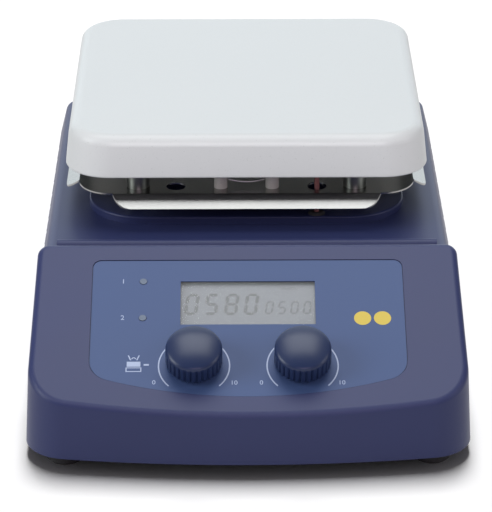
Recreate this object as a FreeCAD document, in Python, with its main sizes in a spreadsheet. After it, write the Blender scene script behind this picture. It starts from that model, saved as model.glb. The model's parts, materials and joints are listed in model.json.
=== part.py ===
import FreeCAD, Part
import math
import os

import Sketcher
from FreeCAD import Vector

# Hotplate magnetic stirrer, millimetres, +Z up.
# The origin is on the bench, under the middle of the housing; the control panel faces -Y.

SIZES = [
    # housing
    ("body_width", 216.0, "width of both housings"),
    ("body_depth", 360.0, "front of the bow to the rear wall"),
    ("foot_height", 7.2, "bench to the bottom edge of the housings"),
    ("wall", 2.5, "moulded wall of the housings"),
    ("seam", 0.3, "gap between pieces that meet"),
    ("draft", 3.0, "lean of the front housing's walls, degrees"),
    ("bow_radius", 615.0, "plan radius of the bowed front wall"),
    ("front_corner", 22.0, "plan radius of the front corners"),
    ("console_corner", 6.0, "plan radius of the front housing's rear corners"),
    ("console_depth", 102.5, "depth of the front housing at its foot"),
    ("crease_height", 33.5, "height of the crease under the panel"),
    ("panel_tilt", 26.0, "slope of the control panel, degrees"),
    ("panel_round", 3.5, "rounding round the panel's edge"),
    ("rear_corner", 12.0, "plan radius of the rear corners"),
    ("shoulder_height", 39.0, "height where the rear housing's walls start to lean in"),
    ("shoulder_lean", 14.0, "lean of the shoulder, degrees"),
    ("deck_height", 57.0, "height of the deck"),
    ("deck_round", 5.0, "rounding of the deck's edge"),
    ("rear_wall", 6.0, "thickness of the rear wall round the connector recess"),
    ("recess_depth", 3.0, "depth of the connector recess"),
    ("recess_side", 11.0, "housing left beside the connector recess"),
    ("recess_margin", 2.0, "edge left above and below the recess"),
    # riser, dome and bead on the deck
    ("riser_inset", 11.0, "plate rim to the riser's side"),
    ("riser_height", 4.2, "riser above the deck"),
    ("riser_corner", 30.0, "plan radius of the riser"),
    ("dome_radius", 48.0, "radius of the rotor dome"),
    ("dome_gap", 1.0, "dome to the tray above it"),
    ("bead_from_seam", 45.0, "seam to the bead across the deck"),
    ("bead_radius", 3.2, "section radius of the bead"),
    ("bead_sink", 1.4, "depth of the bead's centre below the deck"),
    ("gutter_width", 3.0, "width of the gutter before the bead"),
    ("gutter_depth", 1.4, "depth of the gutter"),
    # side vents
    ("vent_count", 12, "vent slots on each side"),
    ("vent_pitch", 17.0, "vent to vent"),
    ("vent_width", 7.0, "width of a vent slot"),
    ("vent_low", 22.0, "lower end of the vents"),
    ("vent_high", 41.5, "upper end of the vents"),
    ("vent_start", 30.0, "seam to the first vent's centre"),
    # base and feet
    ("base_thick", 1.5, "sheet base plate"),
    ("foot_inset", 19.2, "feet from the housings' sides"),
    ("foot_from_front", 22.0, "front feet from the front of the bow"),
    ("foot_from_rear", 24.0, "rear feet from the rear wall"),
    ("foot_radius", 9.0, "rubber foot"),
    ("foot_recess", 3.4, "radius of the screw recess in a foot"),
    ("foot_bevel", 1.0, "bevel round a foot's sole"),
    ("boss_radius", 4.5, "screw bosses in the housings"),
    ("boss_inset", 12.0, "screw bosses from the housings' sides"),
    ("boss_from_rear", 46.0, "rear screw bosses from the rear wall"),
    ("screw_radius", 1.5, "small screw shank"),
    ("screw_head", 2.8, "small screw head radius"),
    ("screw_head_high", 1.6, "small screw head height"),
    ("screw_bite", 8.0, "depth of the screws in their bosses"),
    ("hole_play", 0.15, "radial play of screws in holes"),
    # top plate
    ("plate_size", 190.0, "square top plate across its rim"),
    ("plate_top", 110.0, "working surface above the bench"),
    ("plate_rim", 87.8, "rim of the skirt above the bench"),
    ("plate_margin", 9.5, "plate rim to the rear wall"),
    ("plate_flare", 6.2, "flare of the skirt, degrees"),
    ("plate_corner", 24.0, "plan radius of the plate's corners"),
    ("plate_round", 6.0, "rounding of the plate's top edge"),
    ("plate_skirt", 3.0, "thickness of the skirt"),
    ("plate_thick", 4.5, "thickness of the working face"),
    # heater under the plate
    ("heater_radius", 74.0, "outer radius of the heating element"),
    ("heater_hole", 20.0, "inner radius of the heating element"),
    ("heater_thick", 2.5, "heating element"),
    ("pad_inset", 6.0, "skirt to the insulation pad"),
    ("pad_thick", 4.5, "insulation pad"),
    ("pad_corner", 16.0, "plan radius of pad and clamp plate"),
    ("clamp_thick", 1.5, "steel clamp plate"),
    # tray
    ("tray_inset", 6.8, "plate rim to the tray's edge"),
    ("tray_floor", 76.6, "upper face of the tray"),
    ("tray_thick", 0.8, "sheet of the tray"),
    ("tray_corner", 18.0, "plan radius of the tray"),
    ("lip_length", 8.9, "length of the bent lips"),
    ("lip_drop", 39.0, "bend of the lips, degrees"),
    ("lip_half", 70.0, "half length of a lip at its bend"),
    ("lip_round", 10.0, "how far the rounded lip ends reach along the lip"),
    ("tray_hole", 5.0, "holes in the tray's floor"),
    ("tray_hole_side", 37.0, "tray holes from the centre line"),
    ("tray_hole_forward", 79.0, "tray holes ahead of the plate's centre"),
    # posts between deck, tray and plate
    ("standoff_radius", 6.0, "plate standoffs"),
    ("standoff_side", 57.0, "standoffs from the centre line"),
    ("standoff_forward", 77.5, "standoffs ahead of and behind the plate's centre"),
    ("spacer_radius", 5.0, "tray spacers"),
    ("spacer_side", 61.0, "tray spacers from the plate's centre, both ways"),
    ("post_radius", 3.6, "ceramic terminal posts"),
    ("post_side", 13.5, "terminal posts from the centre line"),
    ("post_forward", 79.5, "terminal posts ahead of the plate's centre"),
    ("link_height", 4.4, "link wire above the tray at its ends"),
    ("link_sag", 1.6, "sag of the link wire"),
    ("link_radius", 0.6, "link wire"),
    ("lead_radius", 1.3, "sensor lead"),
    ("grommet_radius", 4.5, "rubber grommet in the riser"),
    ("sensor_radius", 2.5, "temperature sensor"),
    # control panel, measured up the slope from the crease
    ("overlay_thick", 0.5, "printed overlay"),
    ("overlay_recess", 0.8, "recess for the overlay"),
    ("overlay_half", 76.5, "half width of the overlay at its top"),
    ("overlay_splay", 0.2, "how much wider each side is at the bottom"),
    ("overlay_top", 95.0, "overlay's top edge up the slope"),
    ("overlay_low", 11.0, "overlay's lowest point up the slope"),
    ("overlay_bow", 235.0, "radius of the overlay's bottom edge"),
    ("overlay_corner", 4.5, "overlay's upper corners"),
    ("overlay_foot_corner", 12.0, "overlay's lower corners"),
    ("display_width", 66.0, "visible display"),
    ("display_length", 27.0, "visible display up the slope"),
    ("display_centre", 68.2, "display centre up the slope"),
    ("window_lap", 1.5, "window hidden behind the overlay on each side"),
    ("window_thick", 1.6, "clear window"),
    ("display_thick", 2.8, "display glass"),
    ("dial_spread", 26.1, "knobs from the centre line"),
    ("dial_centre", 31.1, "knob centres up the slope"),
    ("lamp_side", 51.4, "indicator lamps from the centre line"),
    ("lamp_upper", 81.6, "upper lamp up the slope"),
    ("lamp_lower", 58.8, "lower lamp up the slope"),
    ("lamp_radius", 1.75, "indicator lens"),
    ("lamp_length", 3.2, "indicator lens"),
    # knobs and encoders
    ("knob_radius", 13.7, "knob"),
    ("knob_gap", 1.6, "knob above the panel"),
    ("knob_side", 10.6, "straight part of the knob's side"),
    ("knob_crown", 2.8, "rise of the domed top"),
    ("knob_edge", 3.4, "rounding of the knob's top edge"),
    ("knob_wall", 2.6, "wall of the knob"),
    ("knob_hub", 5.5, "hub round the shaft"),
    ("flute_count", 30, "flutes round a knob"),
    ("flute_radius", 1.0, "flute"),
    ("flute_depth", 0.6, "depth of a flute"),
    ("shaft_radius", 3.0, "encoder shaft"),
    ("shaft_top", 10.6, "encoder shaft above the panel"),
    ("running_play", 0.05, "radial play of running fits"),
    ("bushing_radius", 3.9, "encoder bushing"),
    ("bushing_top", 2.8, "bushing above the panel"),
    ("encoder_side", 13.0, "encoder body, square"),
    ("cavity_radius", 4.6, "hollow inside an encoder"),
    ("plunger_thick", 1.0, "plunger under the shaft"),
    ("press_travel", 1.0, "travel of a pressed knob"),
    ("board_depth", 10.0, "display board below the panel's surface"),
    ("board_thick", 1.6, "circuit boards"),
    ("board_half", 70.0, "half width of the display board"),
    ("board_low", 20.0, "display board's lower edge up the slope"),
    ("board_high", 90.0, "display board's upper edge up the slope"),
    ("board_edge", 4.0, "board edge to its screws"),
    ("board_post", 3.2, "radius of the display board's posts"),
    # motor and magnets
    ("motor_radius", 39.0, "motor case"),
    ("motor_wall", 2.0, "motor case wall"),
    ("motor_foot", 20.0, "motor above the bench"),
    ("motor_length", 34.0, "motor case"),
    ("stator_bore", 22.6, "bore of the stator core"),
    ("stator_length", 20.0, "stator core"),
    ("air_gap", 0.6, "stator to rotor"),
    ("motor_shaft", 4.0, "motor shaft"),
    ("bearing_radius", 11.0, "bearings"),
    ("bearing_thick", 7.0, "bearings"),
    ("bracket_half", 44.0, "motor bracket, square, half side"),
    ("bracket_thick", 2.0, "sheet of the bracket"),
    ("carrier_radius", 41.0, "magnet carrier"),
    ("carrier_thick", 6.0, "magnet carrier"),
    ("carrier_gap", 1.5, "magnets to the dome's ceiling"),
    ("carrier_hub", 9.0, "hub of the carrier"),
    ("magnet_radius", 10.0, "drive magnet"),
    ("magnet_offset", 27.0, "drive magnets from the axis"),
    ("magnet_proud", 2.0, "magnets above the carrier"),
    # main board
    ("main_width", 150.0, "main board"),
    ("main_depth", 70.0, "main board"),
    ("main_from_seam", 14.0, "seam to the main board"),
    ("main_post", 6.0, "height of the main board's spacers"),
    ("coil_side", 37.0, "transformer from the centre line"),
    ("core_width", 30.0, "transformer core"),
    ("core_depth", 35.0, "transformer core"),
    ("core_high", 25.0, "transformer core"),
    ("coil_width", 38.0, "transformer winding"),
    ("coil_depth", 18.0, "transformer winding"),
    ("coil_high", 20.0, "transformer winding"),
    ("capacitor_radius", 6.0, "capacitor"),
    ("capacitor_high", 22.0, "capacitor"),
    ("capacitor_side", 5.0, "capacitors from the centre line"),
    ("capacitor_spread", 28.0, "capacitor to capacitor"),
    ("sink_side", 45.0, "heat sink from the centre line"),
    ("sink_length", 50.0, "heat sink"),
    ("sink_high", 27.0, "heat sink"),
    ("sink_sheet", 2.0, "plate of the heat sink"),
    ("fin_length", 15.0, "fins of the heat sink"),
    ("fin_thick", 1.0, "fins of the heat sink"),
    ("triac_thick", 4.0, "triac"),
    ("triac_width", 10.0, "triac"),
    ("triac_high", 17.0, "triac"),
    # rear panel
    ("panel_height", 23.1, "centre line of the rear connectors"),
    ("inlet_x", -55.0, "inlet's centre"),
    ("inlet_width", 58.0, "inlet flange"),
    ("inlet_height", 27.0, "inlet flange"),
    ("inlet_lip", 2.5, "flange beyond the inlet's body"),
    ("flange_thick", 2.4, "inlet flange"),
    ("inlet_depth", 24.0, "inlet body behind the flange"),
    ("socket_width", 24.6, "socket recess"),
    ("socket_height", 16.8, "socket recess"),
    ("socket_depth", 17.0, "socket recess"),
    ("socket_shift", 12.0, "socket centre from the inlet's centre"),
    ("drawer_width", 13.0, "fuse drawer"),
    ("drawer_height", 21.0, "fuse drawer"),
    ("drawer_length", 24.0, "fuse drawer behind its face"),
    ("drawer_play", 0.35, "play round the drawer"),
    ("drawer_shift", 15.0, "drawer centre from the inlet's centre"),
    ("pin_thick", 2.0, "inlet pin"),
    ("pin_wide", 4.0, "inlet pin"),
    ("pin_length", 12.0, "inlet pin"),
    ("pin_spread", 7.0, "outer pins from the middle one"),
    ("pin_drop", 4.0, "outer pins below the middle one"),
    ("fuse_radius", 2.6, "fuses"),
    ("fuse_length", 18.0, "fuses"),
    ("switch_x", 8.0, "switch centre"),
    ("switch_width", 15.0, "switch bezel"),
    ("switch_height", 21.0, "switch bezel"),
    ("switch_depth", 16.0, "switch body behind the wall"),
    ("bezel_thick", 2.0, "switch bezel"),
    ("rocker_width", 9.0, "rocker"),
    ("rocker_half", 7.2, "rocker pivot to its end"),
    ("rocker_pivot", 3.5, "rocker pivot below the recess floor"),
    ("rocker_pin", 1.2, "rocker pin"),
    ("rocker_throw", 11.0, "rocker tilt each way, degrees"),
    ("probe_x", 44.0, "probe socket"),
    ("probe_bore", 3.2, "probe socket bore"),
    ("probe_radius", 5.4, "probe socket barrel"),
    ("probe_flange", 8.0, "probe socket flange"),
    ("probe_depth", 15.0, "probe socket barrel"),
    ("bush_x", 78.0, "support rod bush"),
    ("bush_bore", 4.25, "core radius of the M10 thread"),
    ("bush_radius", 8.0, "support rod bush"),
    ("bush_length", 20.0, "support rod bush"),
]


class Length:
    """A number from the sheet, or worked out from it, with the formula that binds to it."""

    def __init__(self, value, text):
        self.value = value
        self.text = text

    @staticmethod
    def of(item):
        return item if isinstance(item, Length) else Length(float(item), repr(float(item)))

    def join(self, other, sign, value):
        return Length(value, f"({self.text} {sign} {other.text})")

    def __add__(self, other):
        other = Length.of(other)
        return self.join(other, "+", self.value + other.value)

    def __sub__(self, other):
        other = Length.of(other)
        return self.join(other, "-", self.value - other.value)

    def __mul__(self, other):
        other = Length.of(other)
        return self.join(other, "*", self.value * other.value)

    def __truediv__(self, other):
        other = Length.of(other)
        return self.join(other, "/", self.value / other.value)

    def __radd__(self, other):
        return Length.of(other) + self

    def __rsub__(self, other):
        return Length.of(other) - self

    def __rmul__(self, other):
        return Length.of(other) * self

    def __neg__(self):
        return Length(-self.value, f"(0 - {self.text})")


def sine(angle):
    return Length(math.sin(math.radians(angle.value)), f"sin({angle.text})")


def cosine(angle):
    return Length(math.cos(math.radians(angle.value)), f"cos({angle.text})")


def tangent(angle):
    return Length(math.tan(math.radians(angle.value)), f"tan({angle.text})")


def root(size):
    return Length(math.sqrt(size.value), f"sqrt({size.text})")


doc = FreeCAD.newDocument("HotplateStirrer")
sheet = doc.addObject("Spreadsheet::Sheet", "Sizes")


class Sheet:
    """The driving sizes, by name."""


s = Sheet()
for row, (alias, number, note) in enumerate(SIZES, start=1):
    sheet.set(f"A{row}", alias)
    sheet.set(f"B{row}", str(number))
    sheet.set(f"C{row}", note)
    sheet.setAlias(f"B{row}", alias)
    setattr(s, alias, Length(float(number), f"Sizes.{alias}"))
doc.recompute()

# Places that several pieces share.
front_y = s.body_depth / -2
rear_y = s.body_depth / 2
base_z = s.foot_height
floor_z = base_z + s.base_thick
half_width = s.body_width / 2
seam_y = front_y + s.console_depth + s.seam
crease_y = front_y + (s.crease_height - base_z) * tangent(s.draft)
plate_y = rear_y - s.plate_margin - s.plate_size / 2
recess_y = rear_y - s.recess_depth
inner_rear_y = rear_y - s.rear_wall
riser_z = s.deck_height + s.riser_height
riser_half = s.plate_size / 2 - s.riser_inset
ceiling_z = s.deck_height - s.wall
tray_bottom = s.tray_floor - s.tray_thick
tray_half = s.plate_size / 2 - s.tray_inset
dome_z = tray_bottom - s.dome_gap
element_z = s.plate_top - s.plate_thick
pad_z = element_z - s.heater_thick
clamp_z = pad_z - s.pad_thick
clamp_under = clamp_z - s.clamp_thick
overlay_z = -s.overlay_recess
board_z = -s.board_depth
main_y = seam_y + s.main_from_seam
main_z = floor_z + s.main_post
screw_bore = s.screw_radius + s.hole_play


# Bodies, sketches and features

def bind(thing, path, size):
    thing.setExpression(path, Length.of(size).text)


def new_body(label):
    body = doc.addObject("PartDesign::Body", label)
    body.Label = label
    return body


def sketch_on(body, role, offset=None):
    """A sketch on one of the body's own origin planes, moved along its normal."""
    sketch = body.newObject("Sketcher::SketchObject", body.Name + "_sketch")
    support = next(plane for plane in body.Origin.OriginFeatures if plane.Role == role)
    sketch.AttachmentSupport = (support, [""])
    sketch.MapMode = "FlatFace"
    if offset is not None:
        bind(sketch, "AttachmentOffset.Base.z", offset)
    return sketch


def fix(sketch, kind, first, first_point, second, second_point, size):
    size = Length.of(size)
    index = sketch.addConstraint(
        Sketcher.Constraint(kind, first, first_point, second, second_point, size.value))
    sketch.setExpression(f"Constraints[{index}]", size.text)


def fix_point(sketch, geometry, point, x, y):
    """Hold one point of a sketch at bound distances from the sketch's origin."""
    for kind, axis, place in (("DistanceX", -2, Length.of(x)), ("DistanceY", -1, Length.of(y))):
        if place.value == 0 and "Sizes" not in place.text:
            sketch.addConstraint(Sketcher.Constraint("PointOnObject", geometry, point, axis))
        else:
            fix(sketch, kind, -1, 1, geometry, point, place)


def arc_between(start, end, radius):
    """An arc from start to end, centre on the left for a positive radius, and whether it runs forward."""
    middle = (start + end) * 0.5
    along = end - start
    left = Vector(-along.y, along.x, 0).normalize()
    reach = math.sqrt(max(radius * radius - along.Length ** 2 / 4, 0.0))
    centre = middle + left * (reach if radius > 0 else -reach)
    circle = Part.Circle(centre, Vector(0, 0, 1), abs(radius))
    first, last = (start, end) if radius > 0 else (end, start)
    angles = [math.atan2((p - centre).y, (p - centre).x) for p in (first, last)]
    return Part.ArcOfCircle(circle, angles[0], angles[1]), radius > 0


def outline(sketch, points):
    """A closed outline through bound points; a third value makes the next stretch an arc."""
    spots = [Vector(Length.of(p[0]).value, Length.of(p[1]).value, 0) for p in points]
    ends = []
    for index, point in enumerate(points):
        start, end = spots[index], spots[(index + 1) % len(spots)]
        if len(point) == 3:
            radius = Length.of(point[2])
            arc, forward = arc_between(start, end, radius.value)
            geometry = sketch.addGeometry(arc, False)
            ends.append((geometry, 1 if forward else 2, 2 if forward else 1))
            size = radius if forward else -radius
            number = sketch.addConstraint(Sketcher.Constraint("Radius", geometry, size.value))
            sketch.setExpression(f"Constraints[{number}]", size.text)
        else:
            geometry = sketch.addGeometry(Part.LineSegment(start, end), False)
            ends.append((geometry, 1, 2))
    for index, (geometry, start_point, end_point) in enumerate(ends):
        after, after_start, _ = ends[(index + 1) % len(ends)]
        sketch.addConstraint(Sketcher.Constraint("Coincident", geometry, end_point, after, after_start))
    for (geometry, start_point, _), point in zip(ends, points):
        fix_point(sketch, geometry, start_point, point[0], point[1])


def rectangle(sketch, x_low, y_low, x_high, y_high):
    outline(sketch, [(x_low, y_low), (x_high, y_low), (x_high, y_high), (x_low, y_high)])


def circle(sketch, radius, x=0, y=0):
    radius = Length.of(radius)
    centre = Vector(Length.of(x).value, Length.of(y).value, 0)
    geometry = sketch.addGeometry(Part.Circle(centre, Vector(0, 0, 1), radius.value), False)
    number = sketch.addConstraint(Sketcher.Constraint("Radius", geometry, radius.value))
    sketch.setExpression(f"Constraints[{number}]", radius.text)
    fix_point(sketch, geometry, 3, x, y)


def pad(sketch, length, taper=None, down=False, midplane=False):
    body = sketch.getParentGeoFeatureGroup()
    feature = body.newObject("PartDesign::Pad", body.Name + "_pad")
    feature.Profile = sketch
    bind(feature, "Length", length)
    if taper is not None:
        bind(feature, "TaperAngle", taper)
    feature.Reversed = down
    if midplane:
        feature.SideType = "Symmetric"
    doc.recompute()
    return feature


def pocket(sketch, length=None, taper=None, up=False, both=False):
    """Cut away from the sketch, down its normal unless up; with no length, right through."""
    body = sketch.getParentGeoFeatureGroup()
    before = body.Shape.Volume
    feature = body.newObject("PartDesign::Pocket", body.Name + "_pocket")
    feature.Profile = sketch
    feature.Reversed = up
    if both:
        feature.SideType = "Symmetric"
    if length is None:
        feature.Type = "ThroughAll"
    else:
        bind(feature, "Length", length)
    if taper is not None:
        bind(feature, "TaperAngle", taper)
    doc.recompute()
    if not feature.Shape.Volume < before:
        raise RuntimeError(f"{feature.Name} cuts nothing")
    return feature


def edges_of(feature, test):
    """Names of the edges whose middle, direction and box pass the test."""
    names = []
    for index, edge in enumerate(feature.Shape.Edges, start=1):
        middle = edge.valueAt((edge.FirstParameter + edge.LastParameter) / 2)
        if test(edge, middle):
            names.append(f"Edge{index}")
    return names


def fillet(feature, radius, test):
    body = feature.getParentGeoFeatureGroup()
    names = edges_of(feature, test)
    if not names:
        raise RuntimeError(f"no edge to round on {body.Label}")
    rounding = body.newObject("PartDesign::Fillet", body.Name + "_fillet")
    rounding.Base = (feature, names)
    bind(rounding, "Radius", radius)
    doc.recompute()
    return rounding


def upright(edge, middle):
    """An edge that runs mostly up."""
    return len(edge.Vertexes) == 2 and edge.BoundBox.ZLength > 0.8 * edge.Length


def level_at(height):
    """A test for edges that lie flat at a height."""
    height = Length.of(height).value

    def test(edge, middle):
        return abs(middle.z - height) < 0.01 and edge.BoundBox.ZLength < 0.01
    return test


def revolved(label, points):
    """A turned piece from a profile of (radius, height) points."""
    body = new_body(label)
    sketch = sketch_on(body, "XZ_Plane")
    outline(sketch, points)
    feature = body.newObject("PartDesign::Revolution", label + "_turned")
    feature.Profile = sketch
    feature.ReferenceAxis = (sketch, ["V_Axis"])
    feature.Angle = 360
    doc.recompute()
    return body


# Part primitives and booleans

def place(thing, x=0, y=0, z=0):
    for axis, size in zip("xyz", (x, y, z)):
        bind(thing, f"Placement.Base.{axis}", size)
    return thing


def box(name, width, depth, height, x=0, y=0, z=0):
    """A block centred on x and y that stands on z."""
    block = doc.addObject("Part::Box", name)
    width, depth = Length.of(width), Length.of(depth)
    bind(block, "Length", width)
    bind(block, "Width", depth)
    bind(block, "Height", height)
    return place(block, x - width / 2, y - depth / 2, z)


def rod(name, radius, length, x=0, y=0, z=0, along="Z"):
    """A cylinder that starts at a point and runs up, or along +Y or +X."""
    cylinder = doc.addObject("Part::Cylinder", name)
    bind(cylinder, "Radius", radius)
    bind(cylinder, "Height", length)
    turn = {"Z": (Vector(1, 0, 0), 0), "Y": (Vector(1, 0, 0), -90), "X": (Vector(0, 1, 0), 90)}[along]
    cylinder.Placement = FreeCAD.Placement(Vector(), FreeCAD.Rotation(*turn))
    return place(cylinder, x, y, z)


def cut(name, base, *tools):
    result = doc.addObject("Part::Cut", name)
    result.Base = base
    result.Tool = tools[0] if len(tools) == 1 else fuse(name + "_tools", *tools)
    result.Label = name
    return result


def fuse(name, *pieces):
    result = doc.addObject("Part::MultiFuse", name)
    result.Shapes = list(pieces)
    result.Label = name
    return result


def group(name, pieces):
    """Several separate solids that share one node."""
    result = doc.addObject("Part::Compound", name)
    result.Links = list(pieces)
    result.Label = name
    return result


def on_panel(thing, x=0, up=0, out=0):
    """Stand a piece on the sloping panel: across, up the slope and out from its surface."""
    up, out = Length.of(up), Length.of(out)
    lean_cos, lean_sin = cosine(s.panel_tilt), sine(s.panel_tilt)
    thing.Placement = FreeCAD.Placement(Vector(), FreeCAD.Rotation(Vector(1, 0, 0), s.panel_tilt.value))
    bind(thing, "Placement.Rotation.Angle", s.panel_tilt)
    return place(thing, x, crease_y + up * lean_cos - out * lean_sin,
                 s.crease_height + up * lean_sin + out * lean_cos)


def panel_box(name, width, length, thick, x, up, out):
    """A block on the panel, centred across and up the slope, that starts at a height out of it."""
    block = box(name, width, length, thick)
    return on_panel(block, x - Length.of(width) / 2, up - Length.of(length) / 2, out)


def four_places(side, forward, centre_y=0):
    """The four corners of a rectangle round a point on the centre line."""
    return [(sx * side, centre_y + sy * forward) for sy in (-1, 1) for sx in (-1, 1)]


nodes = []


def keep(thing):
    """Remember a finished piece; its label names its file."""
    nodes.append(thing)
    return thing


# Front housing: a tapered wedge with a bowed front and a sloping panel

def console_form(label, inset):
    """The wedge, drawn in from the outside by a wall."""
    body = new_body(label)
    half = half_width - inset
    bow = s.bow_radius - inset
    front = front_y + inset
    corner_y = front + bow - root(bow * bow - half * half)
    back = front_y + s.console_depth - inset
    sketch = sketch_on(body, "XY_Plane", base_z)
    outline(sketch, [(-half, corner_y, bow), (half, corner_y), (half, back), (-half, back)])
    block = pad(sketch, s.body_width / 2, taper=-s.draft)
    middle = (front_y + s.console_depth / 2).value
    rounded = fillet(block, s.front_corner - inset, lambda e, m: upright(e, m) and m.y < middle)
    rounded = fillet(rounded, s.console_corner - inset, lambda e, m: upright(e, m) and m.y > middle
                     and e.BoundBox.YLength < 0.5 * s.console_depth.value and abs(m.x) > half.value * 0.8)
    profile = sketch_on(body, "YZ_Plane")
    drop = Length.of(inset) / cosine(s.panel_tilt)
    slope = tangent(s.panel_tilt)
    ahead, behind, top = front_y - s.front_corner, seam_y + s.front_corner, s.body_width
    low = s.crease_height - drop + (ahead - crease_y) * slope
    high = s.crease_height - drop + (behind - crease_y) * slope
    outline(profile, [(ahead, low), (behind, high), (behind, top), (ahead, top)])
    return body, pocket(profile, both=True)


form, wedge = console_form("console_form", 0)
tilt = math.radians(s.panel_tilt.value)
tilt_normal = Vector(0, -math.sin(tilt), math.cos(tilt))
crease_point = Vector(0, crease_y.value, s.crease_height.value)
fillet(wedge, s.panel_round,
       lambda e, m: all(abs((v.Point - crease_point).dot(tilt_normal)) < 0.01 for v in e.Vertexes)
       and abs((m - crease_point).dot(tilt_normal)) < 0.01)
hollow, _ = console_form("console_hollow", s.wall)


def overlay_outline(sketch, play):
    """The overlay's shape: straight top, splayed sides, bowed bottom."""
    top = s.overlay_top + play
    half_top = s.overlay_half + play
    half_low = s.overlay_half + s.overlay_splay + play
    bow = s.overlay_bow + play
    low = s.overlay_low - play + bow - root(bow * bow - half_low * half_low)
    outline(sketch, [(-half_low, low, bow), (half_low, low), (half_top, top), (-half_top, top)])


def overlay_slab(label, play, thick, out):
    body = new_body(label)
    sketch = sketch_on(body, "XY_Plane", out)
    overlay_outline(sketch, play)
    slab = pad(sketch, thick)
    middle = (s.overlay_top / 2).value
    slab = fillet(slab, s.overlay_corner + play, lambda e, m: upright(e, m) and m.y > middle)
    slab = fillet(slab, s.overlay_foot_corner + play, lambda e, m: upright(e, m) and m.y < middle)
    return body, slab


overlay_bed, _ = overlay_slab("overlay_bed", s.seam / 2, s.overlay_recess * 2, overlay_z)
window_width = s.display_width + 2 * s.window_lap
window_length = s.display_length + 2 * s.window_lap
lamp_places = [s.lamp_upper, s.lamp_lower]
dial_places = {"left": -s.dial_spread, "right": s.dial_spread}
panel_tools = [
    overlay_bed,
    box("window_hole", window_width + s.seam, window_length + s.seam, s.board_depth,
        0, s.display_centre, -s.board_depth),
]
for side, x in dial_places.items():
    panel_tools.append(rod(side + "_bushing_hole", s.bushing_radius + s.hole_play, s.board_depth,
                           x, s.dial_centre, -s.board_depth))
for number, up in enumerate(lamp_places):
    panel_tools.append(rod(f"lamp_hole_{number}", s.lamp_radius + s.hole_play, s.board_depth,
                           -s.lamp_side, up, -s.board_depth))
panel_cuts = on_panel(fuse("panel_cuts", *panel_tools))

board_corners = [(sx * (s.board_half - s.board_edge), up)
                 for sx in (-1, 1) for up in (s.board_low + s.board_edge, s.board_high - s.board_edge)]
posts = on_panel(fuse("display_posts", *[
    rod(f"display_post_{n}", s.board_post, s.board_depth - s.wall / 2, x, up, board_z)
    for n, (x, up) in enumerate(board_corners)]))
post_holes = on_panel(fuse("display_post_holes", *[
    rod(f"display_post_hole_{n}", screw_bore, s.board_depth - s.wall, x, up, board_z - s.hole_play)
    for n, (x, up) in enumerate(board_corners)]))
front_boss_y = front_y + s.console_depth - s.wall - s.boss_radius - s.console_corner / 2
front_boss_top = (front_boss_y - s.boss_radius - crease_y) * tangent(s.panel_tilt) + s.crease_height
front_boss_height = front_boss_top - s.wall / 2 - floor_z
front_boss_side = half_width - s.wall - s.boss_radius - s.console_corner
front_boss_places = [(sx * front_boss_side, front_boss_y) for sx in (-1, 1)]
front_bosses = [rod(f"front_boss_{n}", s.boss_radius, front_boss_height, x, y, floor_z)
                for n, (x, y) in enumerate(front_boss_places)]
front_boss_holes = [rod(f"front_boss_hole_{n}", screw_bore, s.screw_bite + s.hole_play,
                        x, y, floor_z - s.hole_play)
                    for n, (x, y) in enumerate(front_boss_places)]
base_half = half_width - s.wall - s.seam
seam_rebate = box("seam_rebate", 2 * base_half, 2 * s.console_corner, 2 * s.base_thick, 0, seam_y,
                  base_z - s.base_thick)
cable_window = box("cable_window", s.body_width / 3, s.wall * 6, s.shoulder_height / 2,
                   0, seam_y, floor_z + s.wall)
shell = cut("console_shell", form, hollow)
keep(cut("front_housing", fuse("console_ribbed", shell, posts, *front_bosses),
         panel_cuts, post_holes, cable_window, seam_rebate, *front_boss_holes))

# Rear housing: a low vented body, tapered above the shoulder

rear = new_body("rear_housing")
plan_front = seam_y - 2 * s.rear_corner


def rear_outline(sketch, inset, inset_rear):
    half = half_width - inset
    rectangle(sketch, -half, plan_front, half, rear_y - inset_rear)


lower = sketch_on(rear, "XY_Plane", base_z)
rear_outline(lower, 0, 0)
block = pad(lower, s.shoulder_height - base_z)
block = fillet(block, s.rear_corner, lambda e, m: upright(e, m) and m.y > 0)
upper = sketch_on(rear, "XY_Plane", s.shoulder_height)
corner_start = rear_y - s.rear_corner
side_start = half_width - s.rear_corner
outline(upper, [(-half_width, plan_front), (half_width, plan_front),
                (half_width, corner_start, s.rear_corner), (side_start, rear_y),
                (-side_start, rear_y, s.rear_corner), (-half_width, corner_start)])
block = pad(upper, s.deck_height - s.shoulder_height, taper=-s.shoulder_lean)
trim = sketch_on(rear, "XY_Plane", base_z - 1)
rectangle(trim, -s.body_width, plan_front - s.rear_corner, s.body_width, seam_y)
block = pocket(trim, up=True)
rounded = fillet(block, s.deck_round,
                 lambda e, m: level_at(s.deck_height)(e, m) and m.y > seam_y.value + 0.1)
riser = sketch_on(rear, "XY_Plane", s.deck_height)
rectangle(riser, -riser_half, plate_y - riser_half, riser_half, plate_y + riser_half)
block = pad(riser, s.riser_height)
block = fillet(block, s.riser_corner, lambda e, m: upright(e, m) and m.z > s.deck_height.value)
block = fillet(block, s.riser_height / 4, level_at(riser_z))
dome = sketch_on(rear, "XY_Plane", riser_z)
circle(dome, s.dome_radius, 0, plate_y)
block = pad(dome, dome_z - riser_z)
block = fillet(block, s.wall, level_at(dome_z))
cavity = sketch_on(rear, "XY_Plane", base_z)
inner_corner = s.rear_corner - s.wall
inner_half = half_width - s.wall
bend_y = inner_rear_y - inner_corner
cavity_shape = [(-inner_half, seam_y + s.wall), (inner_half, seam_y + s.wall),
                (inner_half, bend_y, inner_corner), (inner_half - inner_corner, inner_rear_y),
                (inner_corner - inner_half, inner_rear_y, inner_corner), (-inner_half, bend_y)]
outline(cavity, cavity_shape)
block = pocket(cavity, s.shoulder_height - base_z, up=True)
upper_cavity = sketch_on(rear, "XY_Plane", s.shoulder_height)
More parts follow.
